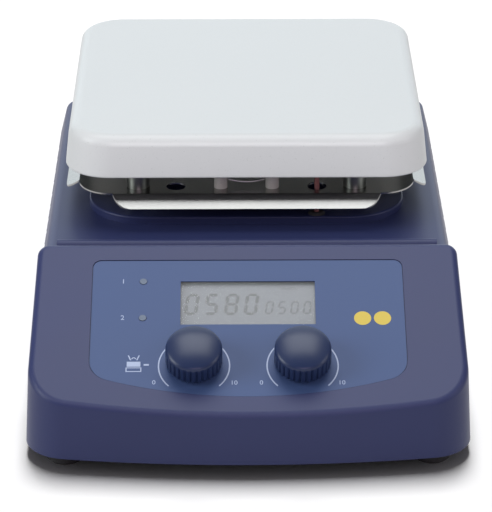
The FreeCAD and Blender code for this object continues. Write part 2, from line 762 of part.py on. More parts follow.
lean_slack = (s.deck_height - s.shoulder_height) * tangent(s.shoulder_lean)
outline(upper_cavity, cavity_shape)
block = pocket(upper_cavity, ceiling_z - s.shoulder_height, taper=-s.shoulder_lean, up=True)
riser_cavity = sketch_on(rear, "XY_Plane", ceiling_z - s.wall)
inner_riser = riser_half - 2 * s.wall
inner_bend = s.riser_corner - 2 * s.wall
bend = inner_riser - inner_bend
outline(riser_cavity, [(-bend, plate_y - inner_riser), (bend, plate_y - inner_riser, inner_bend),
                       (inner_riser, plate_y - bend), (inner_riser, plate_y + bend, inner_bend),
                       (bend, plate_y + inner_riser), (-bend, plate_y + inner_riser, inner_bend),
                       (-inner_riser, plate_y + bend), (-inner_riser, plate_y - bend, inner_bend)])
block = pocket(riser_cavity, riser_z - ceiling_z, up=True)
dome_cavity = sketch_on(rear, "XY_Plane", ceiling_z)
circle(dome_cavity, s.dome_radius - s.wall, 0, plate_y)
block = pocket(dome_cavity, dome_z - s.wall - ceiling_z, up=True)
gutter = sketch_on(rear, "XY_Plane", s.deck_height)
bead_y = seam_y + s.bead_from_seam
bead_half = half_width - lean_slack - s.deck_round
rectangle(gutter, -bead_half, bead_y - s.bead_radius - s.gutter_width, bead_half, bead_y - s.bead_radius)
block = pocket(gutter, s.gutter_depth)
bead = sketch_on(rear, "YZ_Plane")
bead_reach = root(s.bead_radius * s.bead_radius - s.bead_sink * s.bead_sink)
bead_floor = s.deck_height - s.wall / 2
outline(bead, [(bead_y - bead_reach, bead_floor), (bead_y + bead_reach, bead_floor),
               (bead_y + bead_reach, s.deck_height, s.bead_radius), (bead_y - bead_reach, s.deck_height)])
block = pad(bead, 2 * bead_half, midplane=True)
slot = sketch_on(rear, "YZ_Plane")
slot_y = seam_y + s.vent_start
slot_half = s.vent_width / 2
slot_foot = s.vent_low + slot_half
slot_head = s.vent_high - slot_half
outline(slot, [(slot_y - slot_half, slot_foot, slot_half), (slot_y, s.vent_low, slot_half),
               (slot_y + slot_half, slot_foot), (slot_y + slot_half, slot_head, slot_half),
               (slot_y, s.vent_high, slot_half), (slot_y - slot_half, slot_head)])
first_slot = pocket(slot, both=True)
slots = rear.newObject("PartDesign::LinearPattern", "vent_slots")
slots.Originals = [first_slot]
slots.Direction = (slot, ["H_Axis"])
bind(slots, "Length", (s.vent_count - 1) * s.vent_pitch)
bind(slots, "Occurrences", s.vent_count)
rear.Tip = slots
doc.recompute()
recess = sketch_on(rear, "XZ_Plane", -rear_y)
recess_half = half_width - s.recess_side
rectangle(recess, -recess_half, base_z + s.recess_margin, recess_half, s.shoulder_height - s.recess_margin)
block = pocket(recess, s.recess_depth, up=True)

# Interfaces through the rear wall and the riser.
inlet_hole_width = s.inlet_width - 2 * s.inlet_lip
inlet_hole_high = s.inlet_height - 2 * s.inlet_lip
inlet_hole = box("inlet_hole", inlet_hole_width, 2 * s.rear_wall, inlet_hole_high,
                 s.inlet_x, rear_y, s.panel_height - inlet_hole_high / 2)
switch_hole = box("switch_hole", s.switch_width - s.wall, 2 * s.rear_wall, s.switch_height - s.wall,
                  s.switch_x, rear_y, s.panel_height - s.switch_height / 2 + s.wall / 2)
probe_hole = rod("probe_hole", s.probe_radius + s.hole_play, 2 * s.rear_wall, s.probe_x,
                 rear_y - s.rear_wall * 2, s.panel_height, along="Y")
bush_hole = rod("bush_hole", s.bush_radius, 2 * s.bush_length, s.bush_x, recess_y - s.bush_length,
                s.panel_height, along="Y")
bush_boss = rod("bush_boss", s.bush_radius + s.wall, s.bush_length, s.bush_x, recess_y - s.bush_length,
                s.panel_height, along="Y")
sensor_x = s.tray_hole_side
sensor_y = plate_y - s.tray_hole_forward
grommet_hole = rod("grommet_hole", s.grommet_radius - s.wall / 2, 2 * s.deck_height,
                   sensor_x, sensor_y, base_z)
rear_window = box("rear_cable_window", s.body_width / 3, s.wall * 6, s.shoulder_height / 2, 0, seam_y,
                  floor_z + s.wall)
rear_rebate = box("rear_rebate", 2 * base_half, 2 * s.console_corner, 2 * s.base_thick, 0, seam_y,
                  base_z - s.base_thick)
rear_boss_rows = [seam_y + s.wall + s.boss_radius + s.seam, rear_y - s.boss_from_rear]
rear_boss_side = half_width - s.boss_inset
rear_boss_places = [(sx * rear_boss_side, y) for y in rear_boss_rows for sx in (-1, 1)]
rear_bosses = [rod(f"rear_boss_{n}", s.boss_radius, ceiling_z + s.wall / 2 - floor_z, x, y, floor_z)
               for n, (x, y) in enumerate(rear_boss_places)]
rear_boss_holes = [rod(f"rear_boss_hole_{n}", screw_bore, s.screw_bite + s.hole_play,
                       x, y, floor_z - s.hole_play)
                   for n, (x, y) in enumerate(rear_boss_places)]
rear.Label = "rear_form"
keep(cut("rear_housing", fuse("rear_ribbed", rear, bush_boss, *rear_bosses),
         inlet_hole, switch_hole, probe_hole, bush_hole, grommet_hole, rear_window, rear_rebate,
         *rear_boss_holes))

# Base plate, feet and their screws

base = new_body("base_form")
base_inset = s.wall + s.seam
base_bow = s.bow_radius - base_inset
base_front = front_y + base_inset + base_bow - root(base_bow * base_bow - base_half * base_half)
sketch = sketch_on(base, "XY_Plane", base_z)
outline(sketch, [(-base_half, base_front, base_bow), (base_half, base_front),
                 (base_half, inner_rear_y - s.seam), (-base_half, inner_rear_y - s.seam)])
sheet_metal = pad(sketch, s.base_thick)
sheet_metal = fillet(sheet_metal, s.front_corner - base_inset, lambda e, m: upright(e, m) and m.y < 0)
sheet_metal = fillet(sheet_metal, s.rear_corner - base_inset, lambda e, m: upright(e, m) and m.y > 0)
foot_side = half_width - s.foot_inset
foot_places = {
    "foot_front_left": (-foot_side, front_y + s.foot_from_front),
    "foot_front_right": (foot_side, front_y + s.foot_from_front),
    "foot_rear_left": (-foot_side, rear_y - s.foot_from_rear),
    "foot_rear_right": (foot_side, rear_y - s.foot_from_rear),
}
base_screw_places = rear_boss_places + front_boss_places
base_holes = [rod(f"base_hole_{n}", screw_bore, 2 * s.base_thick, x, y, base_z - s.base_thick / 2)
              for n, (x, y) in enumerate(base_screw_places + list(foot_places.values()))]
keep(cut("base_plate", base, *base_holes))

foot_seat = base_z / 2
for label, (x, y) in foot_places.items():
    foot = revolved(label, [(screw_bore, foot_seat), (s.foot_recess, foot_seat), (s.foot_recess, 0),
                            (s.foot_radius - s.foot_bevel, 0), (s.foot_radius, s.foot_bevel),
                            (s.foot_radius, base_z), (screw_bore, base_z)])
    keep(place(foot, x, y, 0))


def screws(label, places, seat_z, shank, up=True):
    """Screws with their heads under a seat, shanks up, or the other way round."""
    pieces = []
    for n, (x, y) in enumerate(places):
        head_z = seat_z - s.screw_head_high if up else seat_z
        shank_z = seat_z if up else seat_z - shank
        head = rod(f"{label}_head_{n}", s.screw_head, s.screw_head_high, x, y, head_z)
        stem = rod(f"{label}_stem_{n}", s.screw_radius, shank, x, y, shank_z)
        pieces.append(fuse(f"{label}_{n}", head, stem))
    return pieces


case_screws = screws("base_screws", base_screw_places, base_z, s.base_thick + s.screw_bite)
case_screws += screws("foot_screws", list(foot_places.values()), foot_seat, s.base_thick + s.screw_bite)

# Top plate, heater and clamp plate

plate = new_body("top_plate")
half = s.plate_size / 2
sketch = sketch_on(plate, "XY_Plane", s.plate_rim)
rectangle(sketch, -half, -half, half, half)
block = pad(sketch, s.plate_top - s.plate_rim, taper=-s.plate_flare)
block = fillet(block, s.plate_corner, upright)
block = fillet(block, s.plate_round, level_at(s.plate_top))
under = sketch_on(plate, "XY_Plane", s.plate_rim)
skirt_half = half - s.plate_skirt
corner = s.plate_corner - s.plate_skirt
edge = skirt_half - corner
outline(under, [(-edge, -skirt_half), (edge, -skirt_half, corner), (skirt_half, -edge),
                (skirt_half, edge, corner), (edge, skirt_half), (-edge, skirt_half, corner),
                (-skirt_half, edge), (-skirt_half, -edge, corner)])
block = pocket(under, element_z - s.plate_rim, taper=-s.plate_flare, up=True)
fillet(block, s.plate_skirt / 3, level_at(s.plate_rim))
keep(place(plate, 0, plate_y, 0))

ceiling_half = skirt_half - (element_z - s.plate_rim) * tangent(s.plate_flare)
sheet_half = ceiling_half - s.pad_inset
post_rows = [(sx * s.post_side, -s.post_forward) for sx in (-1, 1)]
standoff_rows = four_places(s.standoff_side, s.standoff_forward)


def plate_sheet(label, thick, z, holes):
    """A rounded square sheet round the plate's centre, with round holes."""
    body = new_body(label)
    sketch = sketch_on(body, "XY_Plane", z)
    rectangle(sketch, -sheet_half, -sheet_half, sheet_half, sheet_half)
    block = pad(sketch, thick)
    block = fillet(block, s.pad_corner, upright)
    openings = sketch_on(body, "XY_Plane", z)
    for radius, x, y in holes:
        circle(openings, radius, x, y)
    pocket(openings, thick, up=True)
    return place(body, 0, plate_y, 0)


sensor_hole = (s.sensor_radius + s.hole_play, sensor_x, -s.tray_hole_forward)
keep(plate_sheet("insulation_pad", s.pad_thick, clamp_z, [sensor_hole]))
clamp_sheet = plate_sheet("clamp_sheet", s.clamp_thick, clamp_under, [sensor_hole])
stud_foot = clamp_under - s.screw_bite + s.hole_play
studs = [rod(f"stud_{n}", s.screw_radius, s.screw_bite, x, plate_y + y, stud_foot)
         for n, (x, y) in enumerate(standoff_rows)]
keep(fuse("clamp_plate", clamp_sheet, *studs))
element = new_body("heating_element")
sketch = sketch_on(element, "XY_Plane", pad_z)
circle(sketch, s.heater_radius)
circle(sketch, s.heater_hole)
pad(sketch, s.heater_thick)
keep(place(element, 0, plate_y, 0))
sensor_tip = element_z - clamp_under
keep(rod("temperature_sensor", s.sensor_radius, sensor_tip, sensor_x, sensor_y, clamp_under))

# Posts between tray and plate

stack = clamp_under - s.tray_floor
standoff_ground = [(x, plate_y + y) for x, y in standoff_rows]
standoffs = [cut(f"standoff_{n}", rod(f"standoff_rod_{n}", s.standoff_radius, stack, x, y, s.tray_floor),
                 rod(f"standoff_low_{n}", screw_bore, s.screw_bite, x, y, s.tray_floor),
                 rod(f"standoff_high_{n}", screw_bore, s.screw_bite, x, y, clamp_under - s.screw_bite))
             for n, (x, y) in enumerate(standoff_ground)]
keep(group("plate_standoffs", standoffs))
tray_screws = screws("standoff_screws", standoff_ground, tray_bottom,
                     s.tray_thick + s.screw_bite - s.hole_play)
terminals = [rod(f"terminal_{n}", s.post_radius, stack, x, plate_y + y, s.tray_floor)
             for n, (x, y) in enumerate(post_rows)]
keep(group("ceramic_terminals", terminals))


def link_wire():
    """The thin link that hangs between the two terminals, as a tube along one arc."""
    reach = (s.post_side - s.post_radius - s.seam).value
    sag = s.link_sag.value
    height = (s.tray_floor + s.link_height).value
    y = (plate_y - s.post_forward).value
    ends = [Vector(-reach, y, height), Vector(reach, y, height)]
    arc = Part.Arc(ends[0], Vector(0, y, height - sag), ends[1]).toShape()
    start = arc.tangentAt(arc.FirstParameter)
    ring = Part.Wire([Part.makeCircle(s.link_radius.value, ends[0], start)])
    return Part.Wire([arc]).makePipeShell([ring], True, True)


wire = doc.addObject("Part::Feature", "heater_link_wire")
wire.Shape = link_wire()
keep(wire)

# Heat shield tray: one sheet with four lips bent down

tray = new_body("tray_form")
sketch = sketch_on(tray, "XY_Plane", tray_bottom)
edge = tray_half - s.tray_corner
outline(sketch, [(-edge, -tray_half), (edge, -tray_half, s.tray_corner), (tray_half, -edge),
                 (tray_half, edge, s.tray_corner), (edge, tray_half), (-edge, tray_half, s.tray_corner),
                 (-tray_half, edge), (-tray_half, -edge, s.tray_corner)])
pad(sketch, s.tray_thick)
profile = sketch_on(tray, "YZ_Plane")
drop_cos, drop_sin = cosine(s.lip_drop), sine(s.lip_drop)
bend_out = -tray_half - s.tray_thick * drop_sin
bend_z = tray_bottom + s.tray_thick * drop_cos
tip_out = -s.lip_length * drop_cos
tip_down = -s.lip_length * drop_sin
outline(profile, [(-tray_half + s.tray_thick, tray_bottom), (-tray_half + s.tray_thick, s.tray_floor),
                  (-tray_half, s.tray_floor, s.tray_thick), (bend_out, bend_z),
                  (bend_out + tip_out, bend_z + tip_down), (-tray_half + tip_out, tray_bottom + tip_down),
                  (-tray_half, tray_bottom)])
lip = pad(profile, 2 * s.lip_half, midplane=True)
scoops = sketch_on(tray, "XY_Plane", s.tray_floor + s.tray_thick)
lip_tip = bend_out + tip_out
lip_bend = (s.lip_round * s.lip_round + tip_out * tip_out) / (-2 * tip_out)
for side in (-1, 1):
    end = side * s.lip_half
    inner = end - side * s.lip_round
    outer = end + side * s.tray_thick
    outline(scoops, [(end, bend_out, -side * lip_bend), (inner, lip_tip), (inner, lip_tip - s.lip_length),
                     (outer, lip_tip - s.lip_length), (outer, bend_out)])
scoop = pocket(scoops)
lips = tray.newObject("PartDesign::PolarPattern", "lips")
lips.Originals = [lip, scoop]
lips.Axis = (sketch, ["N_Axis"])
lips.Angle = 360
lips.Occurrences = 4
tray.Tip = lips
doc.recompute()
openings = sketch_on(tray, "XY_Plane", s.tray_floor)
for side in (-1, 1):
    circle(openings, s.tray_hole, side * s.tray_hole_side, -s.tray_hole_forward)
for x, y in standoff_rows + four_places(s.spacer_side, s.spacer_side):
    circle(openings, screw_bore, x, y)
pocket(openings, s.tray_thick)
tray.Label = "heat_shield_tray"
keep(place(tray, 0, plate_y, 0))

spacer_places = four_places(s.spacer_side, s.spacer_side, plate_y)
spacers = [cut(f"tray_spacer_{n}",
               rod(f"tray_spacer_rod_{n}", s.spacer_radius, tray_bottom - riser_z, x, y, riser_z),
               rod(f"tray_spacer_bore_{n}", screw_bore, tray_bottom - riser_z, x, y, riser_z))
           for n, (x, y) in enumerate(spacer_places)]
keep(group("tray_spacers", spacers))
tray_screws += screws("spacer_screws", spacer_places, s.tray_floor,
                      s.tray_floor - riser_z - s.seam, up=False)
keep(group("tray_screws", tray_screws))

grommet_neck = s.grommet_radius - s.wall / 2
keep(place(revolved("sensor_grommet", [
    (s.lead_radius + s.running_play, riser_z - s.wall), (grommet_neck - s.running_play, riser_z - s.wall),
    (grommet_neck - s.running_play, riser_z), (s.grommet_radius, riser_z),
    (s.grommet_radius - 1, riser_z + s.wall / 2), (s.lead_radius + s.running_play, riser_z + s.wall / 2),
]), sensor_x, sensor_y, 0))
keep(rod("sensor_lead", s.lead_radius, clamp_under - ceiling_z, sensor_x, sensor_y, ceiling_z))

# Control overlay, window, display and lamps

overlay, slab = overlay_slab("control_overlay", -s.seam / 2, s.overlay_thick, overlay_z)
openings = sketch_on(overlay, "XY_Plane", overlay_z)
display_half = s.display_width / 2
rectangle(openings, -display_half, s.display_centre - s.display_length / 2, display_half,
          s.display_centre + s.display_length / 2)
for x in dial_places.values():
    circle(openings, s.bushing_radius + s.hole_play, x, s.dial_centre)
for up in lamp_places:
    circle(openings, s.lamp_radius + s.hole_play, -s.lamp_side, up)
pocket(openings, s.overlay_thick, up=True)
keep(on_panel(overlay))

window_z = overlay_z - s.window_thick
keep(panel_box("display_window", window_width - s.seam, window_length - s.seam, s.window_thick,
               0, s.display_centre, window_z))
display_z = window_z - s.display_thick
keep(panel_box("display_glass", window_width - s.seam, window_length - s.seam, s.display_thick,
               0, s.display_centre, display_z))
frame_high = display_z - board_z
keep(panel_box("backlight", window_width - s.seam - s.wall, window_length - s.seam, frame_high,
               0, s.display_centre, board_z))
lenses = [rod(f"lamp_lens_{n}", s.lamp_radius, s.lamp_length, -s.lamp_side, up, -s.lamp_length)
          for n, up in enumerate(lamp_places)]
keep(on_panel(group("lamp_lenses", lenses)))

board_length = s.board_high - s.board_low
board_plate = box("board_plate", 2 * s.board_half, board_length, s.board_thick, 0,
                  s.board_low + board_length / 2, board_z - s.board_thick)
board_holes = [rod(f"board_hole_{n}", screw_bore, s.board_thick, x, up, board_z - s.board_thick)
               for n, (x, up) in enumerate(board_corners)]
keep(on_panel(cut("display_board", board_plate, *board_holes)))
keep(on_panel(group("display_screws", screws("board_screws", board_corners, board_z - s.board_thick,
                                             s.board_thick + s.board_depth - s.wall - s.seam))))

# Rotary encoders and knobs

shaft_bottom = -s.wall - s.cavity_radius
for side, x in dial_places.items():
    encoder_high = s.board_depth - s.wall - s.seam
    block = box(side + "_encoder_block", s.encoder_side, s.encoder_side, encoder_high, 0, 0, board_z)
    room = rod(side + "_encoder_room", s.cavity_radius, encoder_high - 2 * s.seam - s.plunger_thick, 0, 0,
               board_z + s.seam)
    mouth = rod(side + "_encoder_mouth", s.shaft_radius + s.running_play, s.board_depth, 0, 0,
                board_z + s.plunger_thick)
    bushing_foot = board_z + encoder_high
    bushing = revolved(side + "_bushing", [
        (s.shaft_radius + s.running_play, bushing_foot), (s.bushing_radius, bushing_foot),
        (s.bushing_radius, s.bushing_top - s.seam), (s.bushing_radius - s.seam, s.bushing_top),
        (s.shaft_radius + s.running_play, s.bushing_top)])
    keep(on_panel(fuse(side + "_encoder", cut(side + "_encoder_case", block, room, mouth), bushing),
                  x, s.dial_centre))
    keep(on_panel(rod(side + "_plunger", s.cavity_radius - s.seam, s.plunger_thick), x, s.dial_centre,
                  shaft_bottom - s.plunger_thick))
    flat = box(side + "_shaft_flat", 2 * s.shaft_radius, s.shaft_radius, s.shaft_top - s.bushing_top, 0,
               s.shaft_radius, s.bushing_top + s.seam + s.press_travel)
    round_bar = rod(side + "_shaft_bar", s.shaft_radius, s.shaft_top - shaft_bottom, 0, 0, shaft_bottom)
    keep(on_panel(cut(side + "_shaft", round_bar, flat), x, s.dial_centre))

    knob = new_body(side + "_knob")
    sketch = sketch_on(knob, "XZ_Plane")
    side_top = s.knob_gap + s.knob_side
    crown = side_top + s.knob_crown
    crown_radius = (s.knob_radius * s.knob_radius + s.knob_crown * s.knob_crown) / (2 * s.knob_crown)
    hub_foot = s.bushing_top + s.press_travel + s.seam
    inside_top = side_top - s.knob_wall / 2
    bore_radius = s.shaft_radius + s.running_play
    outline(sketch, [(0, crown), (0, s.shaft_top), (bore_radius, s.shaft_top), (bore_radius, hub_foot),
                     (s.knob_hub, hub_foot), (s.knob_hub, inside_top),
                     (s.knob_radius - s.knob_wall, inside_top), (s.knob_radius - s.knob_wall, s.knob_gap),
                     (s.knob_radius, s.knob_gap), (s.knob_radius, side_top, crown_radius)])
    turned = knob.newObject("PartDesign::Revolution", side + "_knob_turned")
    turned.Profile = sketch
    turned.ReferenceAxis = (sketch, ["V_Axis"])
    turned.Angle = 360
    doc.recompute()
    turned = fillet(turned, s.knob_edge, level_at(side_top))
    flute_sketch = sketch_on(knob, "XY_Plane", s.knob_gap)
    circle(flute_sketch, s.flute_radius, 0, s.flute_radius - s.flute_depth + s.knob_radius)
    flute = pocket(flute_sketch, s.knob_side + s.knob_crown, up=True)
    flutes = knob.newObject("PartDesign::PolarPattern", side + "_flutes")
    flutes.Originals = [flute]
    flutes.Axis = (flute_sketch, ["N_Axis"])
    flutes.Angle = 360
    bind(flutes, "Occurrences", s.flute_count)
    knob.Tip = flutes
    doc.recompute()
    keep(on_panel(knob, x, s.dial_centre))

# Motor, bearings, shaft and magnet carrier, all round the plate's centre

motor_top = s.motor_foot + s.motor_length
inner_motor = s.motor_radius - s.motor_wall
bearing_bore = s.motor_shaft + s.running_play
upper_seat = motor_top - s.motor_wall
hub_radius = s.bearing_radius + s.motor_wall
keep(place(revolved("motor_case", [
    (inner_motor, s.motor_foot), (s.motor_radius, s.motor_foot), (s.motor_radius, motor_top - s.motor_wall),
    (s.motor_radius - s.motor_wall, motor_top), (hub_radius, motor_top),
    (hub_radius, upper_seat + s.bearing_thick), (s.bearing_radius, upper_seat + s.bearing_thick),
    (s.bearing_radius, upper_seat), (inner_motor, upper_seat)]), 0, plate_y, 0))
lower_seat = s.motor_foot - s.bearing_thick + s.motor_wall
keep(place(revolved("motor_end_plate", [
    (s.bearing_radius, lower_seat), (hub_radius, lower_seat), (hub_radius, s.motor_foot),
    (inner_motor, s.motor_foot), (inner_motor, s.motor_foot + s.motor_wall),
    (s.bearing_radius, s.motor_foot + s.motor_wall)]), 0, plate_y, 0))
bearings = [cut(f"bearing_{n}",
                rod(f"bearing_ring_{n}", s.bearing_radius, s.bearing_thick, 0, plate_y, seat),
                rod(f"bearing_bore_{n}", bearing_bore, s.bearing_thick, 0, plate_y, seat))
            for n, seat in enumerate((upper_seat, lower_seat))]
keep(group("motor_bearings", bearings))
core_z = s.motor_foot + (s.motor_length - s.stator_length) / 2
stator = new_body("stator_core")
sketch = sketch_on(stator, "XY_Plane", core_z)
circle(sketch, inner_motor)
circle(sketch, s.stator_bore)
pad(sketch, s.stator_length)
keep(place(stator, 0, plate_y, 0))
rotor_radius = s.stator_bore - s.air_gap
keep(place(revolved("rotor_core", [
    (s.motor_shaft, core_z), (rotor_radius, core_z), (rotor_radius, core_z + s.stator_length),
    (s.motor_shaft, core_z + s.stator_length)]), 0, plate_y, 0))
magnet_top = dome_z - s.wall - s.carrier_gap
carrier_top = magnet_top - s.magnet_proud
carrier_z = carrier_top - s.carrier_thick
hub_z = upper_seat + s.bearing_thick + s.seam
keep(rod("motor_shaft", s.motor_shaft, carrier_top - lower_seat, 0, plate_y, lower_seat))
carrier = new_body("magnet_carrier")
sketch = sketch_on(carrier, "XY_Plane", carrier_z)
circle(sketch, s.carrier_radius)
pad(sketch, s.carrier_thick)
sketch = sketch_on(carrier, "XY_Plane", hub_z)
circle(sketch, s.carrier_hub)
pad(sketch, carrier_z - hub_z)
sketch = sketch_on(carrier, "XY_Plane", hub_z)
circle(sketch, s.motor_shaft)
pocket(sketch, carrier_top - hub_z, up=True)
sketch = sketch_on(carrier, "XY_Plane", carrier_top)
for side in (-1, 1):
    circle(sketch, s.magnet_radius, side * s.magnet_offset, 0)
pocket(sketch, s.carrier_thick - s.motor_wall / 2)
keep(place(carrier, 0, plate_y, 0))
magnet_high = magnet_top - carrier_z - s.motor_wall / 2
magnets = [rod(f"drive_magnet_{n}", s.magnet_radius, magnet_high, side * s.magnet_offset, plate_y,
               carrier_z + s.motor_wall / 2)
           for n, side in enumerate((-1, 1))]
keep(group("drive_magnets", magnets))

bracket_side = 2 * s.bracket_half
bracket_top = s.motor_foot
leg_high = bracket_top - floor_z
deck = box("bracket_deck", bracket_side, bracket_side, s.bracket_thick,
           0, plate_y, bracket_top - s.bracket_thick)
legs = [box(f"bracket_leg_{n}", s.bracket_thick, bracket_side, leg_high,
            side * (s.bracket_half - s.bracket_thick / 2), plate_y, floor_z)
        for n, side in enumerate((-1, 1))]
flange_wide = 4 * s.boss_radius
flanges = [box(f"bracket_flange_{n}", flange_wide, bracket_side, s.bracket_thick,
               side * (s.bracket_half + flange_wide / 2 - s.bracket_thick), plate_y, floor_z)
           for n, side in enumerate((-1, 1))]
bracket_screw_places = four_places(s.bracket_half + flange_wide / 2, s.bracket_half - s.boss_radius * 2,
                                   plate_y)
bracket_cuts = [rod("bracket_bore", hub_radius + s.seam, s.motor_foot, 0, plate_y, floor_z)]
bracket_cuts += [rod(f"bracket_hole_{n}", screw_bore, 2 * s.bracket_thick, x, y, floor_z)
                 for n, (x, y) in enumerate(bracket_screw_places)]
keep(cut("motor_bracket", fuse("bracket_sheet", deck, *legs, *flanges), *bracket_cuts))
case_screws += screws("bracket_screws", bracket_screw_places, floor_z + s.bracket_thick,
                      s.bracket_thick, up=False)
keep(group("case_screws", case_screws))

# Main board on its spacers

main_middle = main_y + s.main_depth / 2
main_corners = four_places(s.main_width / 2 - s.board_edge, s.main_depth / 2 - s.board_edge, main_middle)
main_plate = box("main_plate", s.main_width, s.main_depth, s.board_thick, 0, main_middle, main_z)
main_holes = [rod(f"main_hole_{n}", screw_bore, s.board_thick, x, y, main_z)
              for n, (x, y) in enumerate(main_corners)]
keep(cut("main_board", main_plate, *main_holes))
keep(group("board_spacers", [rod(f"board_spacer_{n}", s.board_post, s.main_post, x, y, floor_z)
                             for n, (x, y) in enumerate(main_corners)]))
parts_z = main_z + s.board_thick
core = box("transformer_core", s.core_width, s.core_depth, s.core_high, -s.coil_side, main_middle, parts_z)
coil = box("transformer_coil", s.coil_width, s.coil_depth, s.coil_high, -s.coil_side, main_middle, parts_z)
keep(fuse("transformer", core, coil))
keep(group("capacitors", [rod(f"capacitor_{n}", s.capacitor_radius, s.capacitor_high, s.capacitor_side,
                              main_middle + side * s.capacitor_spread / 2, parts_z)
                          for n, side in enumerate((-1, 1))]))
sink_base = box("sink_base", s.sink_sheet, s.sink_length, s.sink_high, s.sink_side, main_middle, parts_z)
fin_count = 9
fin_pitch = (s.sink_length - s.fin_thick) / (fin_count - 1)
fins = [box(f"sink_fin_{n}", s.fin_length, s.fin_thick, s.sink_high, s.sink_side + s.fin_length / 2,
            main_middle + (n - (fin_count - 1) / 2) * fin_pitch, parts_z) for n in range(fin_count)]
keep(fuse("heat_sink", sink_base, *fins))
keep(box("triac", s.triac_thick, s.triac_width, s.triac_high,
         s.sink_side - s.sink_sheet / 2 - s.triac_thick / 2, main_middle, parts_z))

# Rear connectors, set into the recess

socket_x = s.inlet_x - s.socket_shift
drawer_x = s.inlet_x + s.drawer_shift
flange_y = recess_y + s.flange_thick / 2
inlet_body_width = inlet_hole_width - s.seam
inlet_body_high = inlet_hole_high - s.seam
inlet_back = recess_y - s.inlet_depth
inlet_low = s.panel_height - s.inlet_height / 2
body_low = s.panel_height - inlet_body_high / 2
inlet_shell = fuse("inlet_shell",
                   box("inlet_flange", s.inlet_width, s.flange_thick, s.inlet_height,
                       s.inlet_x, flange_y, inlet_low),
                   box("inlet_body", inlet_body_width, s.inlet_depth, inlet_body_high, s.inlet_x,
                       recess_y - s.inlet_depth / 2, body_low))
face_y = recess_y + s.flange_thick
socket_room = box("socket_room", s.socket_width, 2 * s.socket_depth, s.socket_height, socket_x, face_y,
                  s.panel_height - s.socket_height / 2)
drawer_room = box("drawer_room", s.drawer_width, 2 * s.drawer_length, s.drawer_height - s.wall,
                  drawer_x, face_y, s.panel_height - (s.drawer_height - s.wall) / 2)
keep(cut("inlet_housing", inlet_shell, socket_room, drawer_room))
pin_floor = face_y - s.socket_depth
pins = [box(f"inlet_pin_{n}", s.pin_thick, s.pin_length, s.pin_wide, socket_x + across * s.pin_spread,
            pin_floor + s.pin_length / 2, s.panel_height - abs(across) * s.pin_drop)
        for n, across in enumerate((-1, 0, 1))]
keep(group("inlet_pins", pins))
drawer_thin = s.drawer_width - 2 * s.drawer_play
drawer_high = s.drawer_height - s.wall - 2 * s.drawer_play
drawer_face = box("drawer_face", s.drawer_width - s.seam, s.recess_depth - s.flange_thick, s.drawer_height,
                  drawer_x, (face_y + rear_y) / 2, s.panel_height - s.drawer_height / 2)
drawer_reach = s.drawer_length - s.drawer_play
drawer_bar = box("drawer_bar", drawer_thin, drawer_reach, drawer_high, drawer_x, face_y - drawer_reach / 2,
                 s.panel_height - drawer_high / 2)
fuse_gap = drawer_high / 4
fuse_y = face_y - drawer_reach + s.bracket_thick
fuse_beds = [box(f"fuse_bed_{n}", drawer_thin, s.fuse_length + s.seam, 2 * s.fuse_radius + s.seam,
                 drawer_x + s.wall, fuse_y + s.fuse_length / 2,
                 s.panel_height + side * fuse_gap - s.fuse_radius - s.seam / 2)
             for n, side in enumerate((-1, 1))]
keep(cut("fuse_drawer", fuse("drawer_block", drawer_face, drawer_bar), *fuse_beds))
keep(group("fuses", [rod(f"fuse_{n}", s.fuse_radius, s.fuse_length,
                         drawer_x - drawer_thin / 2 + s.wall + s.fuse_radius + s.seam / 2, fuse_y,
                         s.panel_height + side * fuse_gap, along="Y") for n, side in enumerate((-1, 1))]))

bezel_y = recess_y + s.bezel_thick / 2
switch_body_wide = s.switch_width - s.wall - s.seam
switch_body_high = s.switch_height - s.wall - s.seam
switch_shell = fuse("switch_shell",
                    box("switch_bezel", s.switch_width, s.bezel_thick, s.switch_height, s.switch_x, bezel_y,
                        s.panel_height - s.switch_height / 2),
                    box("switch_barrel", switch_body_wide, s.switch_depth, switch_body_high, s.switch_x,
                        recess_y - s.switch_depth / 2, s.panel_height - switch_body_high / 2))
room_half = s.rocker_half + 3 * s.seam
room_deep = s.bezel_thick + s.rocker_pivot + 4 * s.rocker_pin
rocker_room = box("rocker_room", s.rocker_width + 2 * s.seam, 2 * room_deep, 2 * room_half, s.switch_x,
                  recess_y + s.bezel_thick, s.panel_height - room_half)
pivot_y = recess_y - s.rocker_pivot
pin_half = s.rocker_width / 2 + s.bezel_thick / 2
pin_seat = rod("rocker_pin_seat", s.rocker_pin + s.running_play, 2 * (pin_half + s.seam),
               s.switch_x - pin_half - s.seam, pivot_y, s.panel_height, along="X")
keep(cut("switch_body", switch_shell, rocker_room, pin_seat))

rocker = new_body("power_rocker")
sketch = sketch_on(rocker, "YZ_Plane")
tip_y = s.bezel_thick * 2.2
waist_y = s.bezel_thick * 1.5
heel_y = s.bezel_thick
outline(sketch, [(tip_y, -s.rocker_half + s.seam), (waist_y, 0), (tip_y, s.rocker_half - s.seam),
                 (heel_y, s.rocker_half - s.seam), (-s.rocker_pin * 2, s.rocker_pin * 2),
                 (-s.rocker_pin * 2, -s.rocker_pin * 2), (heel_y, -s.rocker_half + s.seam)])
pad(sketch, s.rocker_width, midplane=True)
sketch = sketch_on(rocker, "YZ_Plane")
circle(sketch, s.rocker_pin)
pad(sketch, 2 * pin_half, midplane=True)
rocker.Placement = FreeCAD.Placement(Vector(), FreeCAD.Rotation(Vector(1, 0, 0), s.rocker_throw.value))
bind(rocker, "Placement.Rotation.Angle", s.rocker_throw)
keep(place(rocker, s.switch_x, pivot_y, s.panel_height))

